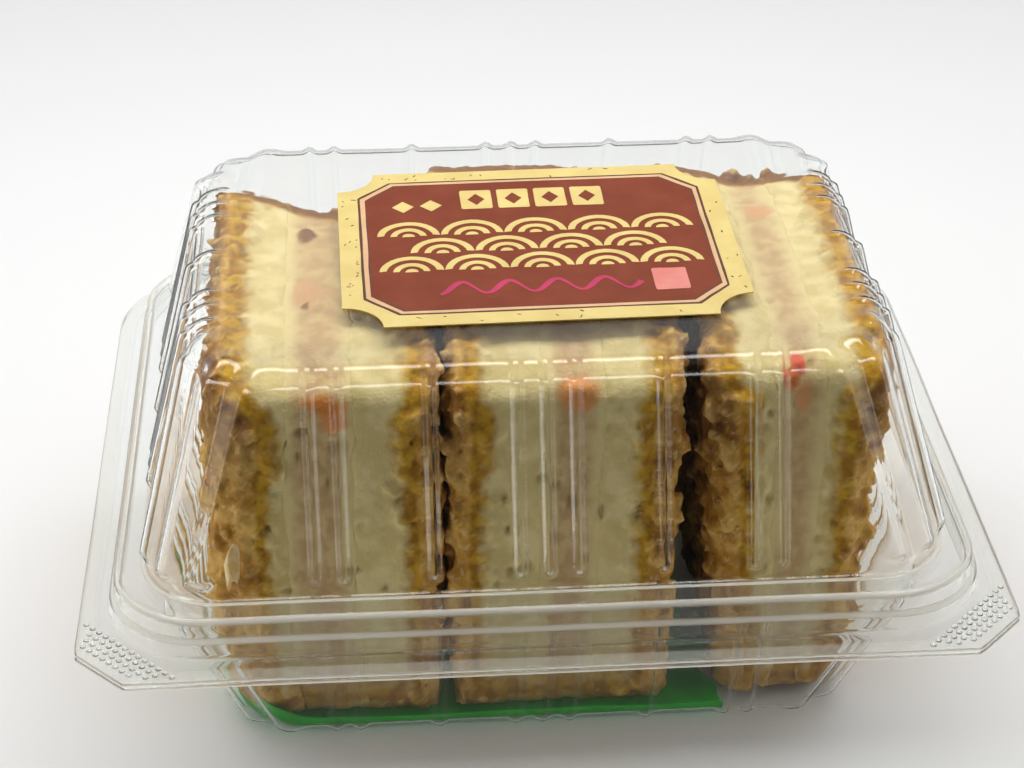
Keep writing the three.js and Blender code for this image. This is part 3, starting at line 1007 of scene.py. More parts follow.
def edge_flakes(toast, side, draw):
    """Crumbs along the rim of the two cut faces, close together at the crust and rarer further in."""
    depth, height = toast_size(toast)[1:]
    parts = []
    for reach, outward in ((height, (0, -1, 0)), (depth, (0, 0, 1))):
        count = int(reach * EDGE_CRUMBS_PER_MM)
        inward = EDGE_CRUMB_REACH * draw.random(count) ** 1.4
        along = draw.uniform(0.02, 0.98, count) * reach
        if outward[1] == -1:
            y = toast["front"] + draw.uniform(-0.35, 0.25, count)
            z = TOAST_FLOOR_Z + along * 0.96
        else:
            start = toast["front"] + TOP_CRUMB_MARGIN
            end = toast_back(toast, side, toast["top"]) - TOP_CRUMB_MARGIN
            y = start + (end - start) * along / reach
            z = np.full(count, float(toast["top"]))
            z += top_rise(toast, side, y - toast["front"], z - TOAST_FLOOR_Z) - 0.1
        face = edge_plane(toast, side, y, z)
        x = face + inward if side == 0 else face - inward
        parts.append(flakes(draw, np.column_stack([x, y, z]), outward, EDGE_CRUMB_SIZES))
    return parts


def crust_flakes(toast, low, high, draw):
    """Flakes for the fried faces of one layer: its outer side, if it has one, and its back edge."""
    width, depth, height = toast_size(toast)
    parts = []
    for share, outward in ((0, (-1, 0, 0)), (1, (1, 0, 0))):
        if share not in (low, high):
            continue
        count = int(depth * height * CRUMBS_PER_SQUARE_MM)
        v = draw.uniform(0.0, 1.0, count)
        z = TOAST_FLOOR_Z + draw.uniform(0.02, 0.995, count) * height
        y = toast["front"] + 0.3 + v * (toast_back(toast, share, z) - toast["front"] - 0.6)
        x = edge_plane(toast, share, y, z) + outward[0] * draw.uniform(-0.3, 0.35, count)
        parts.append(flakes(draw, np.column_stack([x, y, z]), outward))
        parts += edge_flakes(toast, share, draw)
    count = int(width * (high - low) * height * CRUMBS_PER_SQUARE_MM * BACK_CRUMB_SHARE)
    u = draw.uniform(low, high, count)
    z = TOAST_FLOOR_Z + draw.uniform(0.03, 0.99, count) * height
    left, right = toast_sides(toast, z)
    y = toast_back(toast, u, z) - 0.35 + draw.uniform(-0.3, 0.35, count)
    parts.append(flakes(draw, np.column_stack([left + (right - left) * u, y, z]), (0, 1, 0)))
    return parts


def merged(parts):
    points, faces, start = [], [], 0
    for part_points, part_faces in parts:
        points.append(part_points)
        faces += [np.add(face, start) for face in part_faces]
        start += len(part_points)
    return np.vstack(points), faces


# %% [markdown]
# Shrimp shows in the filling as pink and orange lumps, most of them at the front edge of the top. Both
# cut faces are full of small holes where the crumb of the bread had bubbles. A few large holes are placed
# where the photograph shows them and the rest are strewn.

# %% Shrimp and holes
SHRIMP = {
    # middle, half sizes, tone
    "left": [
        ((-37.5, 10.4, 67.7), (1.1, 2.9, 0.7), 0.0),
        ((-37.2, -11.0, 67.8), (2.1, 4.4, 0.8), 0.3),
        ((-37.5, -15.0, 68.2), (0.4, 0.7, 0.4), 0.0),
        ((-34.4, -36.0, 62.4), (3.7, 1.8, 2.0), 0.8),
        ((-33.4, -37.2, 60.4), (2.0, 1.2, 1.6), 0.7),
    ],
    "middle": [
        ((5.6, -36.4, 62.8), (3.0, 1.6, 2.6), 0.65),
        ((6.4, 9.0, 67.8), (2.4, 3.2, 0.8), 0.4),
    ],
    "right": [
        ((40.9, -33.2, 65.2), (0.9, 1.8, 1.2), 1.0),
        ((40.0, -34.6, 63.6), (1.0, 1.4, 1.6), 0.9),
        ((41.8, -35.6, 61.0), (1.0, 1.0, 2.6), 0.5),
        ((41.8, 13.0, 67.7), (2.2, 2.8, 0.8), 0.4),
    ],
}
FRONT_HOLES = {
    # across, up, half width, half height
    "left": [
        (-32.9, 55.8, 1.3, 1.5), (-39.6, 54.2, 0.6, 1.0), (-39.2, 58.8, 0.9, 0.8), (-42.3, 27.9, 1.0, 0.8),
        (-31.9, 31.1, 0.8, 1.3),
    ],
    "middle": [
        (-0.4, 48.2, 0.8, 0.9), (1.9, 47.0, 0.6, 0.8), (4.3, 43.7, 0.6, 1.4), (9.4, 41.3, 0.6, 1.5),
        (-4.9, 29.9, 1.1, 1.0), (-5.7, 38.4, 0.6, 0.8), (15.6, 42.2, 0.8, 0.7), (6.8, 32.2, 0.5, 1.0),
    ],
    "right": [(37.3, 41.6, 0.8, 1.2), (37.3, 58.1, 0.6, 0.8), (36.5, 55.6, 0.5, 0.7)],
}
HOLES_PER_SQUARE_MM = {"bread_left": 0.02, "filling": 0.01, "bread_right": 0.02}
HOLE_DEPTH = 0.7
HOLE_SMALLEST = 0.25
HOLE_SPREAD = 0.5
HOLE_STRETCH = (0.8, 2.2)


def strewn_holes(toast, low, high, layer, draw):
    """Centres across and along a cut face with half sizes, for the front and for the top."""
    width, depth, height = toast_size(toast)
    lots = []
    for reach in (height, depth):
        count = int(width * (high - low) * reach * HOLES_PER_SQUARE_MM[layer])
        across = draw.uniform(low, high, count)
        along = draw.uniform(0.03, 0.97, count)
        half = HOLE_SMALLEST + HOLE_SPREAD * draw.random(count) ** 2
        long_half = half * draw.uniform(*HOLE_STRETCH, count)
        lots.append(np.column_stack([across, along * reach, half, long_half]))
    return lots


def sink_holes(points, on_face, first, second, holes):
    """How far each point sinks: deepest in the middle of a hole, nothing at its rim."""
    sunk = np.zeros(len(points))
    first, second = first[on_face], second[on_face]
    deepest = np.zeros(len(first))
    for a, b, half_a, half_b in holes:
        away = ((first - a) / half_a) ** 2 + ((second - b) / half_b) ** 2
        deepest = np.maximum(deepest, np.maximum(0, 1 - away / 1.6) ** 0.7 * min(1, half_a / 0.6))
    sunk[on_face] = deepest
    return sunk


# %% Keeping food inside the pack
ROOM_ROWS = [
    # height, and the room's half width, half depth and corner radius there
    (0.6, 50.4, 38.6, 11.5), (1.4, 51.6, 39.8, 12.3), (36.9, 63.5, 51.6, 11.4), (38.5, 63.6, 51.6, 11.5),
    (68.4, 55.5, 40.4, 12.9), (70.3, 53.7, 38.5, 12.2),
]


def hold_in_room(points):
    """Presses points that reach into the plastic back to its inner face, as a tight pack does."""
    z = points[:, 2]
    rows = np.array(ROOM_ROWS)
    half_x, half_y, radius = (np.interp(z, rows[:, 0], rows[:, i]) for i in (1, 2, 3))
    held = points.copy()
    held[:, 0] = np.clip(held[:, 0], -half_x, half_x)
    held[:, 1] = np.clip(held[:, 1], -half_y, half_y)
    past_x = np.abs(held[:, 0]) - (half_x - radius)
    past_y = np.abs(held[:, 1]) - (half_y - radius)
    reach = np.hypot(past_x, past_y)
    over = (past_x > 0) & (past_y > 0) & (reach > radius)
    share = np.where(over, radius / np.maximum(reach, 1e-6), 1)
    held[:, 0] -= np.sign(held[:, 0]) * past_x * (1 - share) * over
    held[:, 1] -= np.sign(held[:, 1]) * past_y * (1 - share) * over
    return held


# %% [markdown]
# The skin's points carry what the paint needs to know: how deep a point lies below the nearest fried face,
# how far it is down a hole, and how much of it is shrimp. A material reads these marks, so colour always
# follows form.

# %% From block to finished skin
def voxel_skin(piece):
    skin = piece.modifiers.new("skin", "REMESH")
    skin.mode = "VOXEL"
    skin.voxel_size = VOXEL * MM
    skin.use_smooth_shade = True
    return fix_modifiers(piece)


def crevices(piece, points, normals):
    """Positive in hollows and negative on ridges: how far each point lies below its neighbours' mean."""
    ends = np.empty(len(piece.data.edges) * 2, dtype=np.int64)
    piece.data.edges.foreach_get("vertices", ends)
    first, second = ends.reshape(-1, 2).T
    touching = np.maximum(np.bincount(np.concatenate([first, second]), minlength=len(points)), 1)[:, None]

    def mean_of_neighbours(values):
        total = np.zeros_like(values)
        np.add.at(total, first, values[second])
        np.add.at(total, second, values[first])
        return total / touching

    below = ((mean_of_neighbours(points) - points) * normals).sum(axis=1) / VOXEL
    return mean_of_neighbours(below[:, None])[:, 0]


FOOT_SOAK = 0.55


def depth_in_crust(toast, points):
    """Distance to the nearest fried face, and to the back one alone. Oil soaks in deeper at the foot."""
    x, y, z = points.T
    left, right = toast_sides(toast, z)
    behind = toast_back(toast, (x - left) / (right - left), z) - y
    left, right = left + corner_inset(toast, 0, y), right - corner_inset(toast, 1, y)
    return np.minimum.reduce([x - left, right - x, behind, (z - TOAST_FLOOR_Z) * FOOT_SOAK]), behind


def shrimp_marks(points, lumps):
    amount, tone = np.zeros(len(points)), np.zeros(len(points))
    for place, half, lump_tone in lumps:
        away = np.linalg.norm((points - place) / (np.array(half) + 0.5), axis=1)
        away += 0.22 * noise(points, 1.3, 31)
        near = smooth_rise(1.3 - away, 0, 0.55)
        tone = np.where(near > amount, lump_tone, tone)
        amount = np.maximum(amount, near)
    return amount, tone


def toasted_and_shade_marks(points, fried, behind):
    """Where frying went furthest: the rim of the top, most of all at the back, and a little at the foot;
    above the foot it also holds painted shade.
    """
    z = points[:, 2]
    wander = 1.2 * noise(points, 4.0, 77)
    rim = np.maximum(smooth_fall(behind + wander, 4.4, 6.6), 0.7 * smooth_fall(fried, 0.3, 1.6))
    # The narrow band up to 8 mm is fried crust; the weaker darkening that fades out between 10 and 36 mm up
    # is painted shade under the flanges.
    foot = np.maximum(0.45 * smooth_fall(z + wander, 4.0, 8.0), 0.24 * smooth_fall(z, 10, 36))
    return np.maximum(rim * smooth_rise(z, 44, 62), foot)


def make_layer(toast_name, layer, finish):
    toast = TOASTS[toast_name]
    index = LAYERS.index(layer)
    low, high = (0, *toast["seams"], 1)[index:index + 2]
    draw = np.random.default_rng(int(toast["seed"] * 10) * 10 + index)
    parts = [layer_block(toast, low, high), *crust_flakes(toast, low, high, draw)]
    lumps = SHRIMP[toast_name] if layer == "filling" else []
    shape, shape_faces = ball(2)
    parts += [(shape * half + np.array(place), shape_faces) for place, half, _ in lumps]
    piece = voxel_skin(new_piece(f"toast_{toast_name}_{layer}_skin", *merged(parts)))
    carve_and_mark(piece, toast_name, layer, (low, high), draw)
    piece.data.materials.append(finish)
    return piece


CUT_FACING = 0.55
CUT_REACH = 2.5
CRUST_FADE = (1.0, 5.0)
CRUST_ROUGHNESS = 0.34
CUT_ROUGHNESS = 0.10


def carve_and_mark(piece, toast_name, layer, shares, draw):
    """Sinks the holes and roughens the skin, then leaves on each point what the paint reads."""
    toast = TOASTS[toast_name]
    points, normals = points_of(piece), of_each_point(piece, "normal")
    fried, behind = depth_in_crust(toast, points)
    crust = smooth_fall(fried, *CRUST_FADE)
    front = (normals[:, 1] < -CUT_FACING) & (points[:, 1] < toast["front"] + CUT_REACH)
    top = (normals[:, 2] > CUT_FACING) & (points[:, 2] > toast["top"] - CUT_REACH)
    left, right = toast_sides(toast, points[:, 2])
    u = (points[:, 0] - left) / (right - left)
    width = toast_size(toast)[0]
    front_lot, top_lot = strewn_holes(toast, *shares, layer, draw)
    for lot in (front_lot, top_lot):
        lot[:, 0] *= width
    shown = [(x - toast["left"][1], z - TOAST_FLOOR_Z, a, b) for x, z, a, b in FRONT_HOLES[toast_name]]
    holes = sink_holes(points, front, u * width, points[:, 2] - TOAST_FLOOR_Z, [*front_lot, *shown])
    holes += sink_holes(points, top, u * width, points[:, 1] - toast["front"], top_lot)
    amount, tone = shrimp_marks(points, SHRIMP[toast_name] if layer == "filling" else [])
    holes *= (1 - amount) * smooth_rise(fried, 0.5, 2)
    rough = CRUST_ROUGHNESS * crust * layered_noise(points, 1.5, 5)
    rough += CUT_ROUGHNESS * (1 - crust) * layered_noise(points, 1.8, 9)
    moved = hold_in_room(points + normals * (rough - HOLE_DEPTH * holes)[:, None])
    set_points(piece, moved)
    mark(piece, "crevice", crevices(piece, moved, normals))
    shallow = 1.8 * smooth_rise(fried, 0.8, 3.0) * smooth_fall(points[:, 2], 36, 58)
    mark(piece, "fried_depth", fried + shallow)
    mark(piece, "toasted_and_shade", toasted_and_shade_marks(points, fried, behind))
    mark(piece, "seam_depth", np.minimum(u - shares[0], shares[1] - u) * width)
    mark(piece, "hole", holes)
    mark(piece, "shrimp", amount)
    mark(piece, "shrimp_tone", tone)


# %% [markdown]
# Fried bread is three colours deep. The outer crumb is golden brown with dark patches and pale flakes,
# the oil soaks a few millimetres of golden yellow into the slice, and the middle stays cream. The edges
# between them wander, so every step is shifted by noise.
# Painted shade darkens the crumb's hollows, its holes and the lower part of each toast, and a painted
# highlight lightens the crumb's ridges.

# %% Paint for bread and filling
BREAD_CREAM = linear(240, 220, 160)
BREAD_MIDDLE = linear(232, 210, 148)
BREAD_SHADE = linear(222, 199, 134)
BREAD_GOLD = linear(208, 160, 38)
GOLD_DEEP = linear(166, 114, 12)
CRUST_PALE = linear(242, 206, 134)
CRUST_TAN = linear(226, 180, 92)
CRUST_BROWN = linear(196, 138, 38)
CRUST_DARK = linear(126, 76, 20)
# Painted shade for the hollows of the crumb.
CREVICE_SHADE = linear(112, 70, 12)
# Painted shade for the insides of the holes.
HOLE_SHADE = linear(160, 132, 70)
FOOD_SHINE = 0.3
CRUST_DEPTH = (1.0, 2.6)
CRUST_WANDER = 3.0
SOAKED_DEPTH = (3.7, 6.8)
SOAKED_WANDER = 5.0
SEAM_DEPTH = (0.0, 3.4)
SEAM_WANDER = 3.2
HOLLOWS = (0.02, 0.22)
RIDGES = (0.05, 0.22)


def crust_colour(paint):
    """Golden brown with dark patches a few millimetres wide and pale flakes a millimetre wide."""
    broad = paint.mottle(5.5)
    grains = paint.mottle(1.1, 1.0, 0.4)
    colour = paint.mix_colour(paint.step(broad + 0.35 * grains, 0.5, 0.85), CRUST_BROWN, CRUST_TAN)
    colour = paint.mix_colour(paint.step(broad - 0.3 * grains, 0.1, 0.32), CRUST_DARK, colour)
    return paint.mix_colour(paint.step(grains, 0.6, 0.74) * 0.5, colour, CRUST_PALE)


def food_paint(name, middle, middle_shade, middle_patch, inner=False):
    """Colours from the middle outwards: inside, oil-soaked gold, crust, toasted rims and painted shade low
    down, painted shade in hollows and holes, and a painted highlight on ridges.
    """
    paint = Finish(name)
    fried = paint.marked("fried_depth")
    wander = paint.mottle(3.2, seed=0.9)
    shift = wander - 0.5
    colour = paint.patches(middle_patch, (0.35, 0.7), middle_shade, middle)
    gold = paint.patches(2.4, (0.35, 0.65), GOLD_DEEP, BREAD_GOLD, seed=0.5)
    if inner:
        blend = paint.step(paint.marked("seam_depth") + SEAM_WANDER * shift, *SEAM_DEPTH)
        colour = paint.mix_colour(blend, BREAD_MIDDLE, colour)
    soaked = paint.step(fried + SOAKED_WANDER * shift, *SOAKED_DEPTH)
    colour = paint.mix_colour(soaked, gold, colour)
    outside = paint.step(fried + CRUST_WANDER * shift, *CRUST_DEPTH)
    colour = paint.mix_colour(outside, crust_colour(paint), colour)
    # Darkens towards crust brown: the toasted rims and foot, and painted shade low on the toasts.
    toasted_and_shade = (paint.marked("toasted_and_shade") * (0.5 + wander)).capped()
    colour = paint.mix_colour(toasted_and_shade, colour, CRUST_DARK)
    # Painted shade: the crumb's hollows, found from the skin's shape, are darkened towards a deep brown.
    hollow_shade = paint.step(paint.marked("crevice"), *HOLLOWS) * (1.0 - 0.75 * soaked)
    colour = paint.mix_colour(hollow_shade * 0.8, colour, CREVICE_SHADE)
    # Painted highlight: the ridges of the crumb are lightened towards a pale tan.
    ridge = paint.step(0.0 - paint.marked("crevice"), *RIDGES) * (1.0 - soaked)
    colour = paint.mix_colour(ridge * 0.5, colour, CRUST_PALE)
    # Painted shade: each sunk hole is darkened by how deep it goes.
    colour = paint.mix_colour(paint.marked("hole") * 0.45, colour, HOLE_SHADE)
    return paint, colour, outside


def finish_food(paint, colour, outside, shine):
    grain = paint.mottle(0.55, seed=0.2)
    rough = shine + 0.18 * outside + 0.12 * grain
    relief = paint.bump(grain, 0.25, 0.6)
    return paint.show(paint.solid(
        Base_Color=colour, Roughness=rough, Normal=relief, Specular_IOR_Level=FOOD_SHINE
    ))


def bread_finish():
    paint, colour, outside = food_paint("fried_bread", BREAD_CREAM, BREAD_SHADE, 4.0)
    return finish_food(paint, colour, outside, 0.5)


# %% Paint for the shrimp filling
FILLING_BEIGE = linear(217, 187, 131)
FILLING_PINK = linear(200, 162, 112)
SHRIMP_TONES = [
    (0.0, linear(134, 92, 54)),
    (0.3, linear(214, 166, 118)),
    (0.6, linear(232, 160, 98)),
    (0.8, linear(226, 138, 60)),
    (1.0, linear(222, 96, 70)),
]


def filling_finish():
    paint, colour, outside = food_paint("shrimp_filling", FILLING_BEIGE, FILLING_PINK, 2.6, inner=True)
    tones = paint.ramp(paint.marked("shrimp_tone"), SHRIMP_TONES)
    colour = paint.mix_colour(paint.marked("shrimp"), colour, tones)
    return finish_food(paint, colour, outside, 0.36)


# %% Make the nine layers
BREAD = bread_finish()
FILLING = filling_finish()
for toast_name in TOASTS:
    for layer in LAYERS:
        skin = make_layer(toast_name, layer, FILLING if layer == "filling" else BREAD)
        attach(skin, "tray_body")
        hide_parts(f"toast_{toast_name}_{layer}")
        describe(skin)

# %% [markdown]
# At the left toast's front corner one flake of crust has come loose and curls away.

# %% A curled flake
PEEL_PLACE = (-50.7, -40.3, 30.6)
PEEL_HEIGHT = 7.4
PEEL_RADIUS = 1.9
PEEL_THICK = 0.4
PEEL_START = 60
PEEL_SWEEP = 190
PEEL_WOBBLE = 0.16
PEEL_ROWS = 15
PEEL_COLUMNS = 13
PEEL_CREAM = linear(252, 228, 176)


def make_peel():
    """A strip that leaves the crust and rolls forward like an open cup, narrower towards its two ends."""
    points = []
    for t in np.linspace(0, 1, PEEL_ROWS):
        reach = 0.55 + 0.45 * math.sin(math.pi * t)
        for s in np.linspace(0, 1, PEEL_COLUMNS):
            angle = math.radians(PEEL_START + PEEL_SWEEP * s * reach)
            radius = PEEL_RADIUS * (1 - 0.3 * s) * (0.75 + 0.25 * math.sin(math.pi * t))
            points.append((
                PEEL_PLACE[0] + radius * math.cos(angle) + 0.5 * t,
                PEEL_PLACE[1] + radius * math.sin(angle),
                PEEL_PLACE[2] + PEEL_HEIGHT * t + 0.5 * math.sin(5 * s),
            ))
    points = np.array(points)
    points += PEEL_WOBBLE * np.column_stack([noise(points, 1.4, seed) for seed in (81, 82, 83)])
    peel = Finish("peeled_crust")
    colour = peel.patches(1.6, (0.35, 0.7), CRUST_PALE, PEEL_CREAM, 3.0)
    finish = peel.show(peel.solid(Base_Color=colour, Roughness=0.55))
    strip = new_piece("curled_flake", points, grid_faces(PEEL_ROWS, PEEL_COLUMNS), finish)
    return thicken(strip, PEEL_THICK)


flake = make_peel()
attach(flake, "tray_body")
describe(flake)

# %% [markdown]
# The label is a sheet of cream paper with scooped corners, lying on the lid's panel. Its print is made of
# thin closed plates, each a hair above the one below: a fine dark frame, a pale frame and a red-brown
# field with cut corners. The field carries plain shapes only: a row of tiles and lozenges, a scale pattern
# of arcs, a wavy stroke and an oblong seal. Brown flecks of fibre are strewn over the cream border.

# %% Sizes of the label
LABEL_HALF = (33.6, 27.0)
LABEL_SCOOP = 6.5
LABEL_THICK = 0.2
LABEL_TURN = math.radians(0.8)
LABEL_MIDDLE = (1.9, 0.1)
LABEL_Z = 71.0
PRINT_RISE = 0.025
PRINT_SUNK = 0.01
BORDER = 3.5
DARK_LINE = 0.45
PALE_LINE = 1.0
INNER_LINE = 0.26
FIELD_CUT = 5.6
HAND_WOBBLE = 0.10
HAND_WOBBLE_SIZE = 2.7
PAPER_WAVE = 0.07
PAPER_WAVE_SIZE = 21


# %% Outlines and plates
def arc(centre, radius, start, end, steps=12):
    angle = np.radians(np.linspace(start, end, steps + 1))
    return np.column_stack([centre[0] + radius * np.cos(angle), centre[1] + radius * np.sin(angle)])


def scooped_outline(half, scoop):
    a, b = half
    return np.vstack([
        arc((a, -b), scoop, 180, 90), arc((a, b), scoop, 270, 180),
        arc((-a, b), scoop, 360, 270), arc((-a, -b), scoop, 90, 0),
    ])


def cut_outline(half, cut, steps=7):
    """An oblong with cut corners, whose sides have enough points to wander like a drawn line."""
    a, b = half
    corners = np.array([
        (a, -b + cut), (a, b - cut), (a - cut, b), (-a + cut, b),
        (-a, b - cut), (-a, -b + cut), (-a + cut, -b), (a - cut, -b),
    ])
    share = np.linspace(0, 1, steps, endpoint=False)[:, None]
    ends = np.roll(corners, -1, axis=0)
    return np.vstack([start + (end - start) * share for start, end in zip(corners, ends)])


def wobble(outline, seed, depth=HAND_WOBBLE):
    flat = np.column_stack([outline, np.zeros(len(outline))])
    sideways, lengthways = (noise(flat, HAND_WOBBLE_SIZE, seed + i) for i in (0, 1))
    return outline + depth * np.column_stack([sideways, lengthways])


def at_heights(*levels):
    return np.vstack([np.column_stack([line, np.full(len(line), z)]) for line, z in levels])


def plate(outline, low, high):
    """A flat closed solid over an outline."""
    count = len(outline)
    sides = grid_faces(2, count, closed=True)
    return at_heights((outline, low), (outline, high)), [range(count)[::-1], range(count, 2 * count), *sides]


def frame_plate(outer, inner, low, high):
    """A flat closed frame between two outlines with the same number of points."""
    points = at_heights((outer, low), (outer, high), (inner, high), (inner, low))
    return points, grid_faces(5, len(outer), closed=True) % len(points)


def lay_on_lid(points):
    """Turns label points and sets them on the panel, with the faint waves of damp paper."""
    laid = turned(points, LABEL_TURN)
    laid[:, :2] += LABEL_MIDDLE
    laid[:, 2] += LABEL_Z + PAPER_WAVE * (1 + noise(laid * (1, 1, 0), PAPER_WAVE_SIZE, 41)) / 2
    return laid


# %% The shapes that are printed on the field
ARC_CENTRES_X = (-21.8, -10.9, 0.0, 10.9, 21.8)
ARC_ROWS_Y = (3.0, -3.2, -9.4)
ARC_RADII = ((5.4, 4.2), (3.1, 2.0), (1.1, 0.0))
TILES = [(x, 15.9) for x in (-9.4, -2.9, 3.6, 10.1)]
TILE_HALF = (2.75, 3.5)
TILE_MARK_HALF = (1.5, 2.1)
LOZENGES = [(-22.3, 14.0), (-17.4, 14.2)]
LOZENGE_HALF = (1.9, 2.1)
STROKE_Y = -15.4
STROKE_X = (-17.5, 15.8)
STROKE_SWING = 1.9
STROKE_TURNS = 0.8
STROKE_STEPS = 110
SEAL_PLACE = (20.7, -14.9)
SEAL_HALF = (2.9, 3.6)
FLECKS = 46


def arc_band(centre, outer, inner):
    if inner == 0:
        return arc(centre, outer, 0, 180, 10)
    return np.vstack([arc(centre, outer, 4, 176, 14), arc(centre, inner, 172, 8, 14)])


def scale_pattern():
    """Rows of nested arcs, like the scales of a fish, every second row set between its neighbours."""
    bands = []
    between = [(a + b) / 2 for a, b in zip(ARC_CENTRES_X, ARC_CENTRES_X[1:])]
    for row, y in enumerate(ARC_ROWS_Y):
        centres = between if row % 2 else ARC_CENTRES_X
        bands += [arc_band((x, y), outer, inner) for x in centres for outer, inner in ARC_RADII]
    return bands


def lozenge(place, half):
    return np.array([(0, -half[1]), (half[0], 0), (0, half[1]), (-half[0], 0)]) + place


def tile(place, half):
    return cut_outline(half, 0.3, 4) + place


def wavy_stroke():
    """A wave like that of a soft brush, wider and narrower by turns."""
    x = np.linspace(*STROKE_X, STROKE_STEPS)
    turn = x * STROKE_TURNS
    middle = np.column_stack([x, STROKE_Y + STROKE_SWING * np.sin(turn)])
    slope = STROKE_SWING * STROKE_TURNS * np.cos(turn)
    across = np.column_stack([-slope, np.ones_like(x)]) / np.hypot(slope, 1)[:, None]
    across *= (0.42 + 0.16 * np.sin(turn + 1.1))[:, None]
    return np.vstack([middle - across, (middle + across)[::-1]])


def border_flecks(draw):
    """Small brown fibres on the cream border, longer than they are wide."""
    specks = []
    while len(specks) < FLECKS:
        x, y = draw.uniform(-33, 33), draw.uniform(-26.4, 26.4)
        past_field = max(abs(x) - LABEL_HALF[0] + BORDER, abs(y) - LABEL_HALF[1] + BORDER)
        to_corner = math.hypot(LABEL_HALF[0] - abs(x), LABEL_HALF[1] - abs(y))
        if past_field < 0.4 or past_field > BORDER - 0.5 or to_corner < LABEL_SCOOP + 0.6:
            continue
        turn = draw.uniform(0, math.pi)
        size = (draw.uniform(0.16, 0.55), draw.uniform(0.08, 0.17))
        fibre = arc((0, 0), 1, 0, 300, 5) * size * draw.uniform(0.7, 1.2, (6, 1))
        specks.append(turned(fibre, turn) + (x, y))
    return specks


# %% Paint for paper and print
PAPERS = {
    # colour, shade, shine
    "cream": ((227, 205, 129), (217, 192, 116), 0.5),
    "pale": ((226, 184, 138), (214, 170, 124), 0.5),
    "brown": ((134, 65, 42), (124, 57, 36), 0.15),
    "dark": ((96, 52, 30), (80, 42, 24), 0.5),
    "pink": ((196, 44, 92), (180, 36, 80), 0.5),
    "rose": ((224, 144, 130), (216, 122, 112), 0.5),
}


def paper_finish(name, colour, shade, shine):
    paint = Finish(f"label_{name}")
    fibre = paint.mottle(0.7, 4.0)
    mixed = paint.patches(6.0, (0.3, 0.75), linear(*shade), linear(*colour), 3.0)
    mixed = paint.mix_colour(fibre * 0.12, mixed, linear(*shade))
    relief = paint.bump(fibre, 0.04, 0.5)
    return paint.show(paint.solid(
        Base_Color=mixed, Roughness=0.55 + 0.1 * fibre, Normal=relief, Specular_IOR_Level=shine
    ))


PAPER = {name: paper_finish(name, *looks) for name, looks in PAPERS.items()}


# %% The label and its print
def print_layer(name, paper, plates):
    points, faces = merged([(lay_on_lid(points), faces) for points, faces in plates])
    piece = new_piece(name, points, faces, PAPER[paper], smooth=False)
    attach(piece, "lid_body")
    return piece


def drawn_line(margin, cut, seed):
    half = [reach - BORDER - margin for reach in LABEL_HALF]
    return wobble(cut_outline(half, cut), seed)


def make_label():
    sheet = plate(scooped_outline(LABEL_HALF, LABEL_SCOOP), 0, LABEL_THICK)
    sheet = print_layer("label_sheet", "cream", [sheet])
    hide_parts("label")
    return sheet


def print_label():
    low, middle, high = [
        (LABEL_THICK + i * PRINT_RISE - PRINT_SUNK, LABEL_THICK + (i + 1) * PRINT_RISE) for i in range(3)
    ]
    dark = drawn_line(0, FIELD_CUT, 51)
    pale = drawn_line(DARK_LINE, FIELD_CUT - 0.1, 53)
    field = drawn_line(DARK_LINE + PALE_LINE, FIELD_CUT - 0.4, 55)
    line = drawn_line(DARK_LINE + PALE_LINE - INNER_LINE, FIELD_CUT - 0.35, 57)
    print_layer("label_frame_dark", "dark", [
        frame_plate(dark, pale, *low), frame_plate(line, field, *low),
        *[plate(speck, *low) for speck in border_flecks(np.random.default_rng(7))],
    ])
    print_layer("label_frame_pale", "pale", [frame_plate(pale, line, *low)])
    print_layer("label_field", "brown", [plate(field, *low)])
    figures = [
        *scale_pattern(),
        *[tile(place, TILE_HALF) for place in TILES],
        *[lozenge(place, LOZENGE_HALF) for place in LOZENGES],
    ]
    print_layer("label_pattern", "cream", [plate(wobble(shape, 61, 0.06), *middle) for shape in figures])
    tile_marks = [lozenge(place, TILE_MARK_HALF) for place in TILES]
    print_layer("label_tile_marks", "brown", [plate(shape, *high) for shape in tile_marks])
    print_layer("label_stroke", "pink", [plate(wavy_stroke(), *middle)])
    seal = wobble(tile(SEAL_PLACE, SEAL_HALF), 63, 0.08)
    print_layer("label_seal", "rose", [plate(seal, *middle)])


describe(make_label())
print_label()

# %% [markdown]
# A thin green film lies under the toasts. It covers the tray's floor from the left end to a straight cut
# edge right of the middle, stands up a little round its rim, and curls up more at the left end.

# %% The green film
LINER_THICK = 0.16
LINER_END_X = 31.0
LINER_CURL = 2.6
LINER_CURL_X = (37, 47)
LINER_STAND = 0.8
LINER_ROWS = [
    # half width, half depth, corner radius, height
    (45.5, 34.0, 9.0, 0.62), (50.2, 38.5, 11.4, 0.66), (51.4, 39.6, 12.2, 0.9), (52.0, 40.2, 12.4, 1.9),
]


def green_finish():
    paint = Finish("green_film")
    colour = paint.patches(7.0, (0.3, 0.7), linear(30, 186, 48), linear(60, 226, 80))
    relief = paint.bump(paint.mottle(3.0, seed=0.5), 0.2, 0.5)
    shine = paint.solid(Base_Color=colour, Roughness=0.28, Normal=relief)
    glow = paint.add("ShaderNodeBsdfTranslucent", None, {"Color": linear(90, 255, 120)})
    return paint.show(paint.add("ShaderNodeMixShader", None, {0: 0.5, 1: shine, 2: glow}))


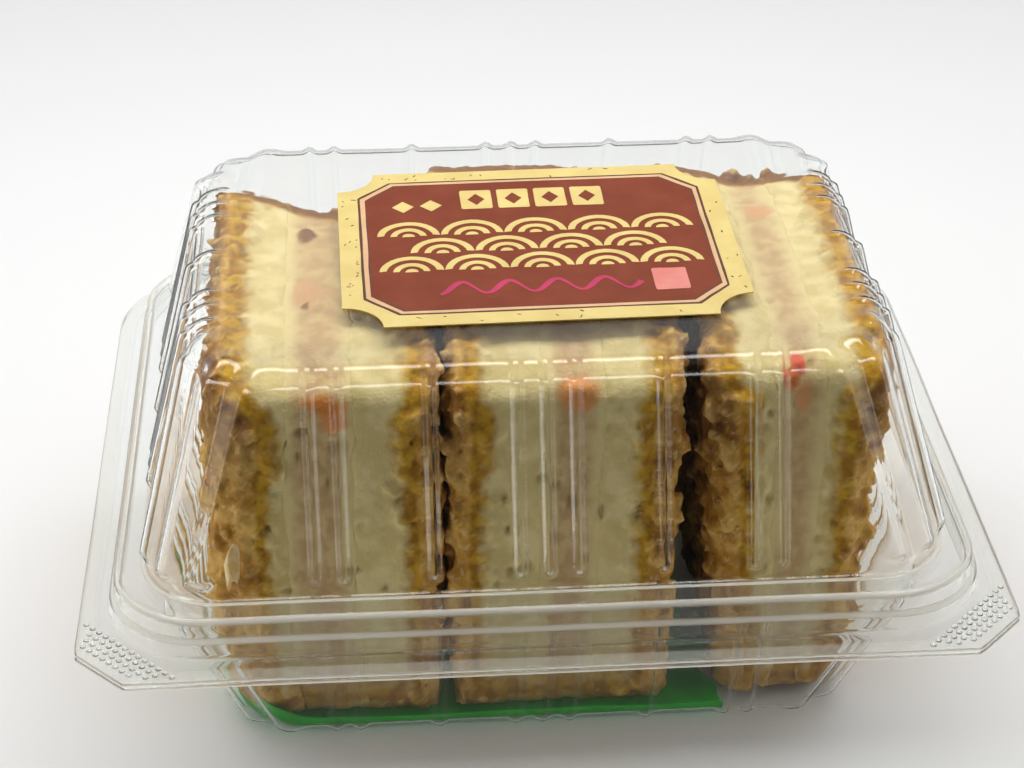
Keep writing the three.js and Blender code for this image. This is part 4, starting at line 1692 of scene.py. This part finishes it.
def make_liner():
    rings = [ring(*row, ribs=TRAY_RIBS) for row in LINER_ROWS]
    brim = rings[-1].copy()
    curl = smooth_rise(-brim[:, 0], *LINER_CURL_X) * LINER_CURL
    brim[:, 2] += LINER_STAND * (1 + 0.6 * noise(brim, 9, 71)) + curl
    brim[:, :2] *= 1 + 0.012 * (curl / LINER_CURL)[:, None]
    points, faces = loft_shell([brim, *rings[::-1]])
    points[:, 2] += 0.1 * noise(points, 12, 72)
    faces = [face for face in faces if points[list(face), 0].mean() < LINER_END_X]
    used = sorted({index for face in faces for index in face})
    points = points[used]
    points[:, 0] = np.minimum(points[:, 0], LINER_END_X + 0.3 * noise(points, 5, 73))
    faces = [np.searchsorted(used, face) for face in faces]
    return thicken(new_piece("liner_film", points, faces, green_finish()), LINER_THICK)


liner = make_liner()
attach(liner, "tray_body")
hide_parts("liner")
describe(liner)

# %% [markdown]
# Lid and tray are one sheet, folded along the back edge. The fold shows as a thin round bead, pinched
# at even steps where the tool pressed it so that it bends easily.

# %% The hinge fold
HINGE_Y = 64.9
HINGE_Z = 31.0
HINGE_RADIUS = 0.45
HINGE_LENGTH = 104
HINGE_PINCH_STEP = 2.6
HINGE_PINCH = 0.14
HINGE_SIDES = 14
HINGE_RINGS = 321


def make_hinge():
    along = np.linspace(-HINGE_LENGTH / 2, HINGE_LENGTH / 2, HINGE_RINGS)
    angle = np.linspace(0, 2 * np.pi, HINGE_SIDES, endpoint=False)
    wave = np.cos(along * 2 * np.pi / HINGE_PINCH_STEP)
    radius = HINGE_RADIUS * (1 - HINGE_PINCH + HINGE_PINCH * wave)
    circle = np.stack([np.zeros_like(angle), np.cos(angle), np.sin(angle)], axis=1)
    points = (circle[None] * radius[:, None, None]).reshape(-1, 3)
    points += np.column_stack([np.repeat(along, HINGE_SIDES), np.full((len(points), 2), (HINGE_Y, HINGE_Z))])
    ends = [range(HINGE_SIDES)[::-1], range(len(points) - HINGE_SIDES, len(points))]
    faces = [*grid_faces(HINGE_RINGS, HINGE_SIDES, closed=True), *ends]
    return new_piece("hinge_bead", points, faces, CLEAR)


hinge = make_hinge()
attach(hinge, "tray_body")
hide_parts("hinge_fold")
describe(hinge)
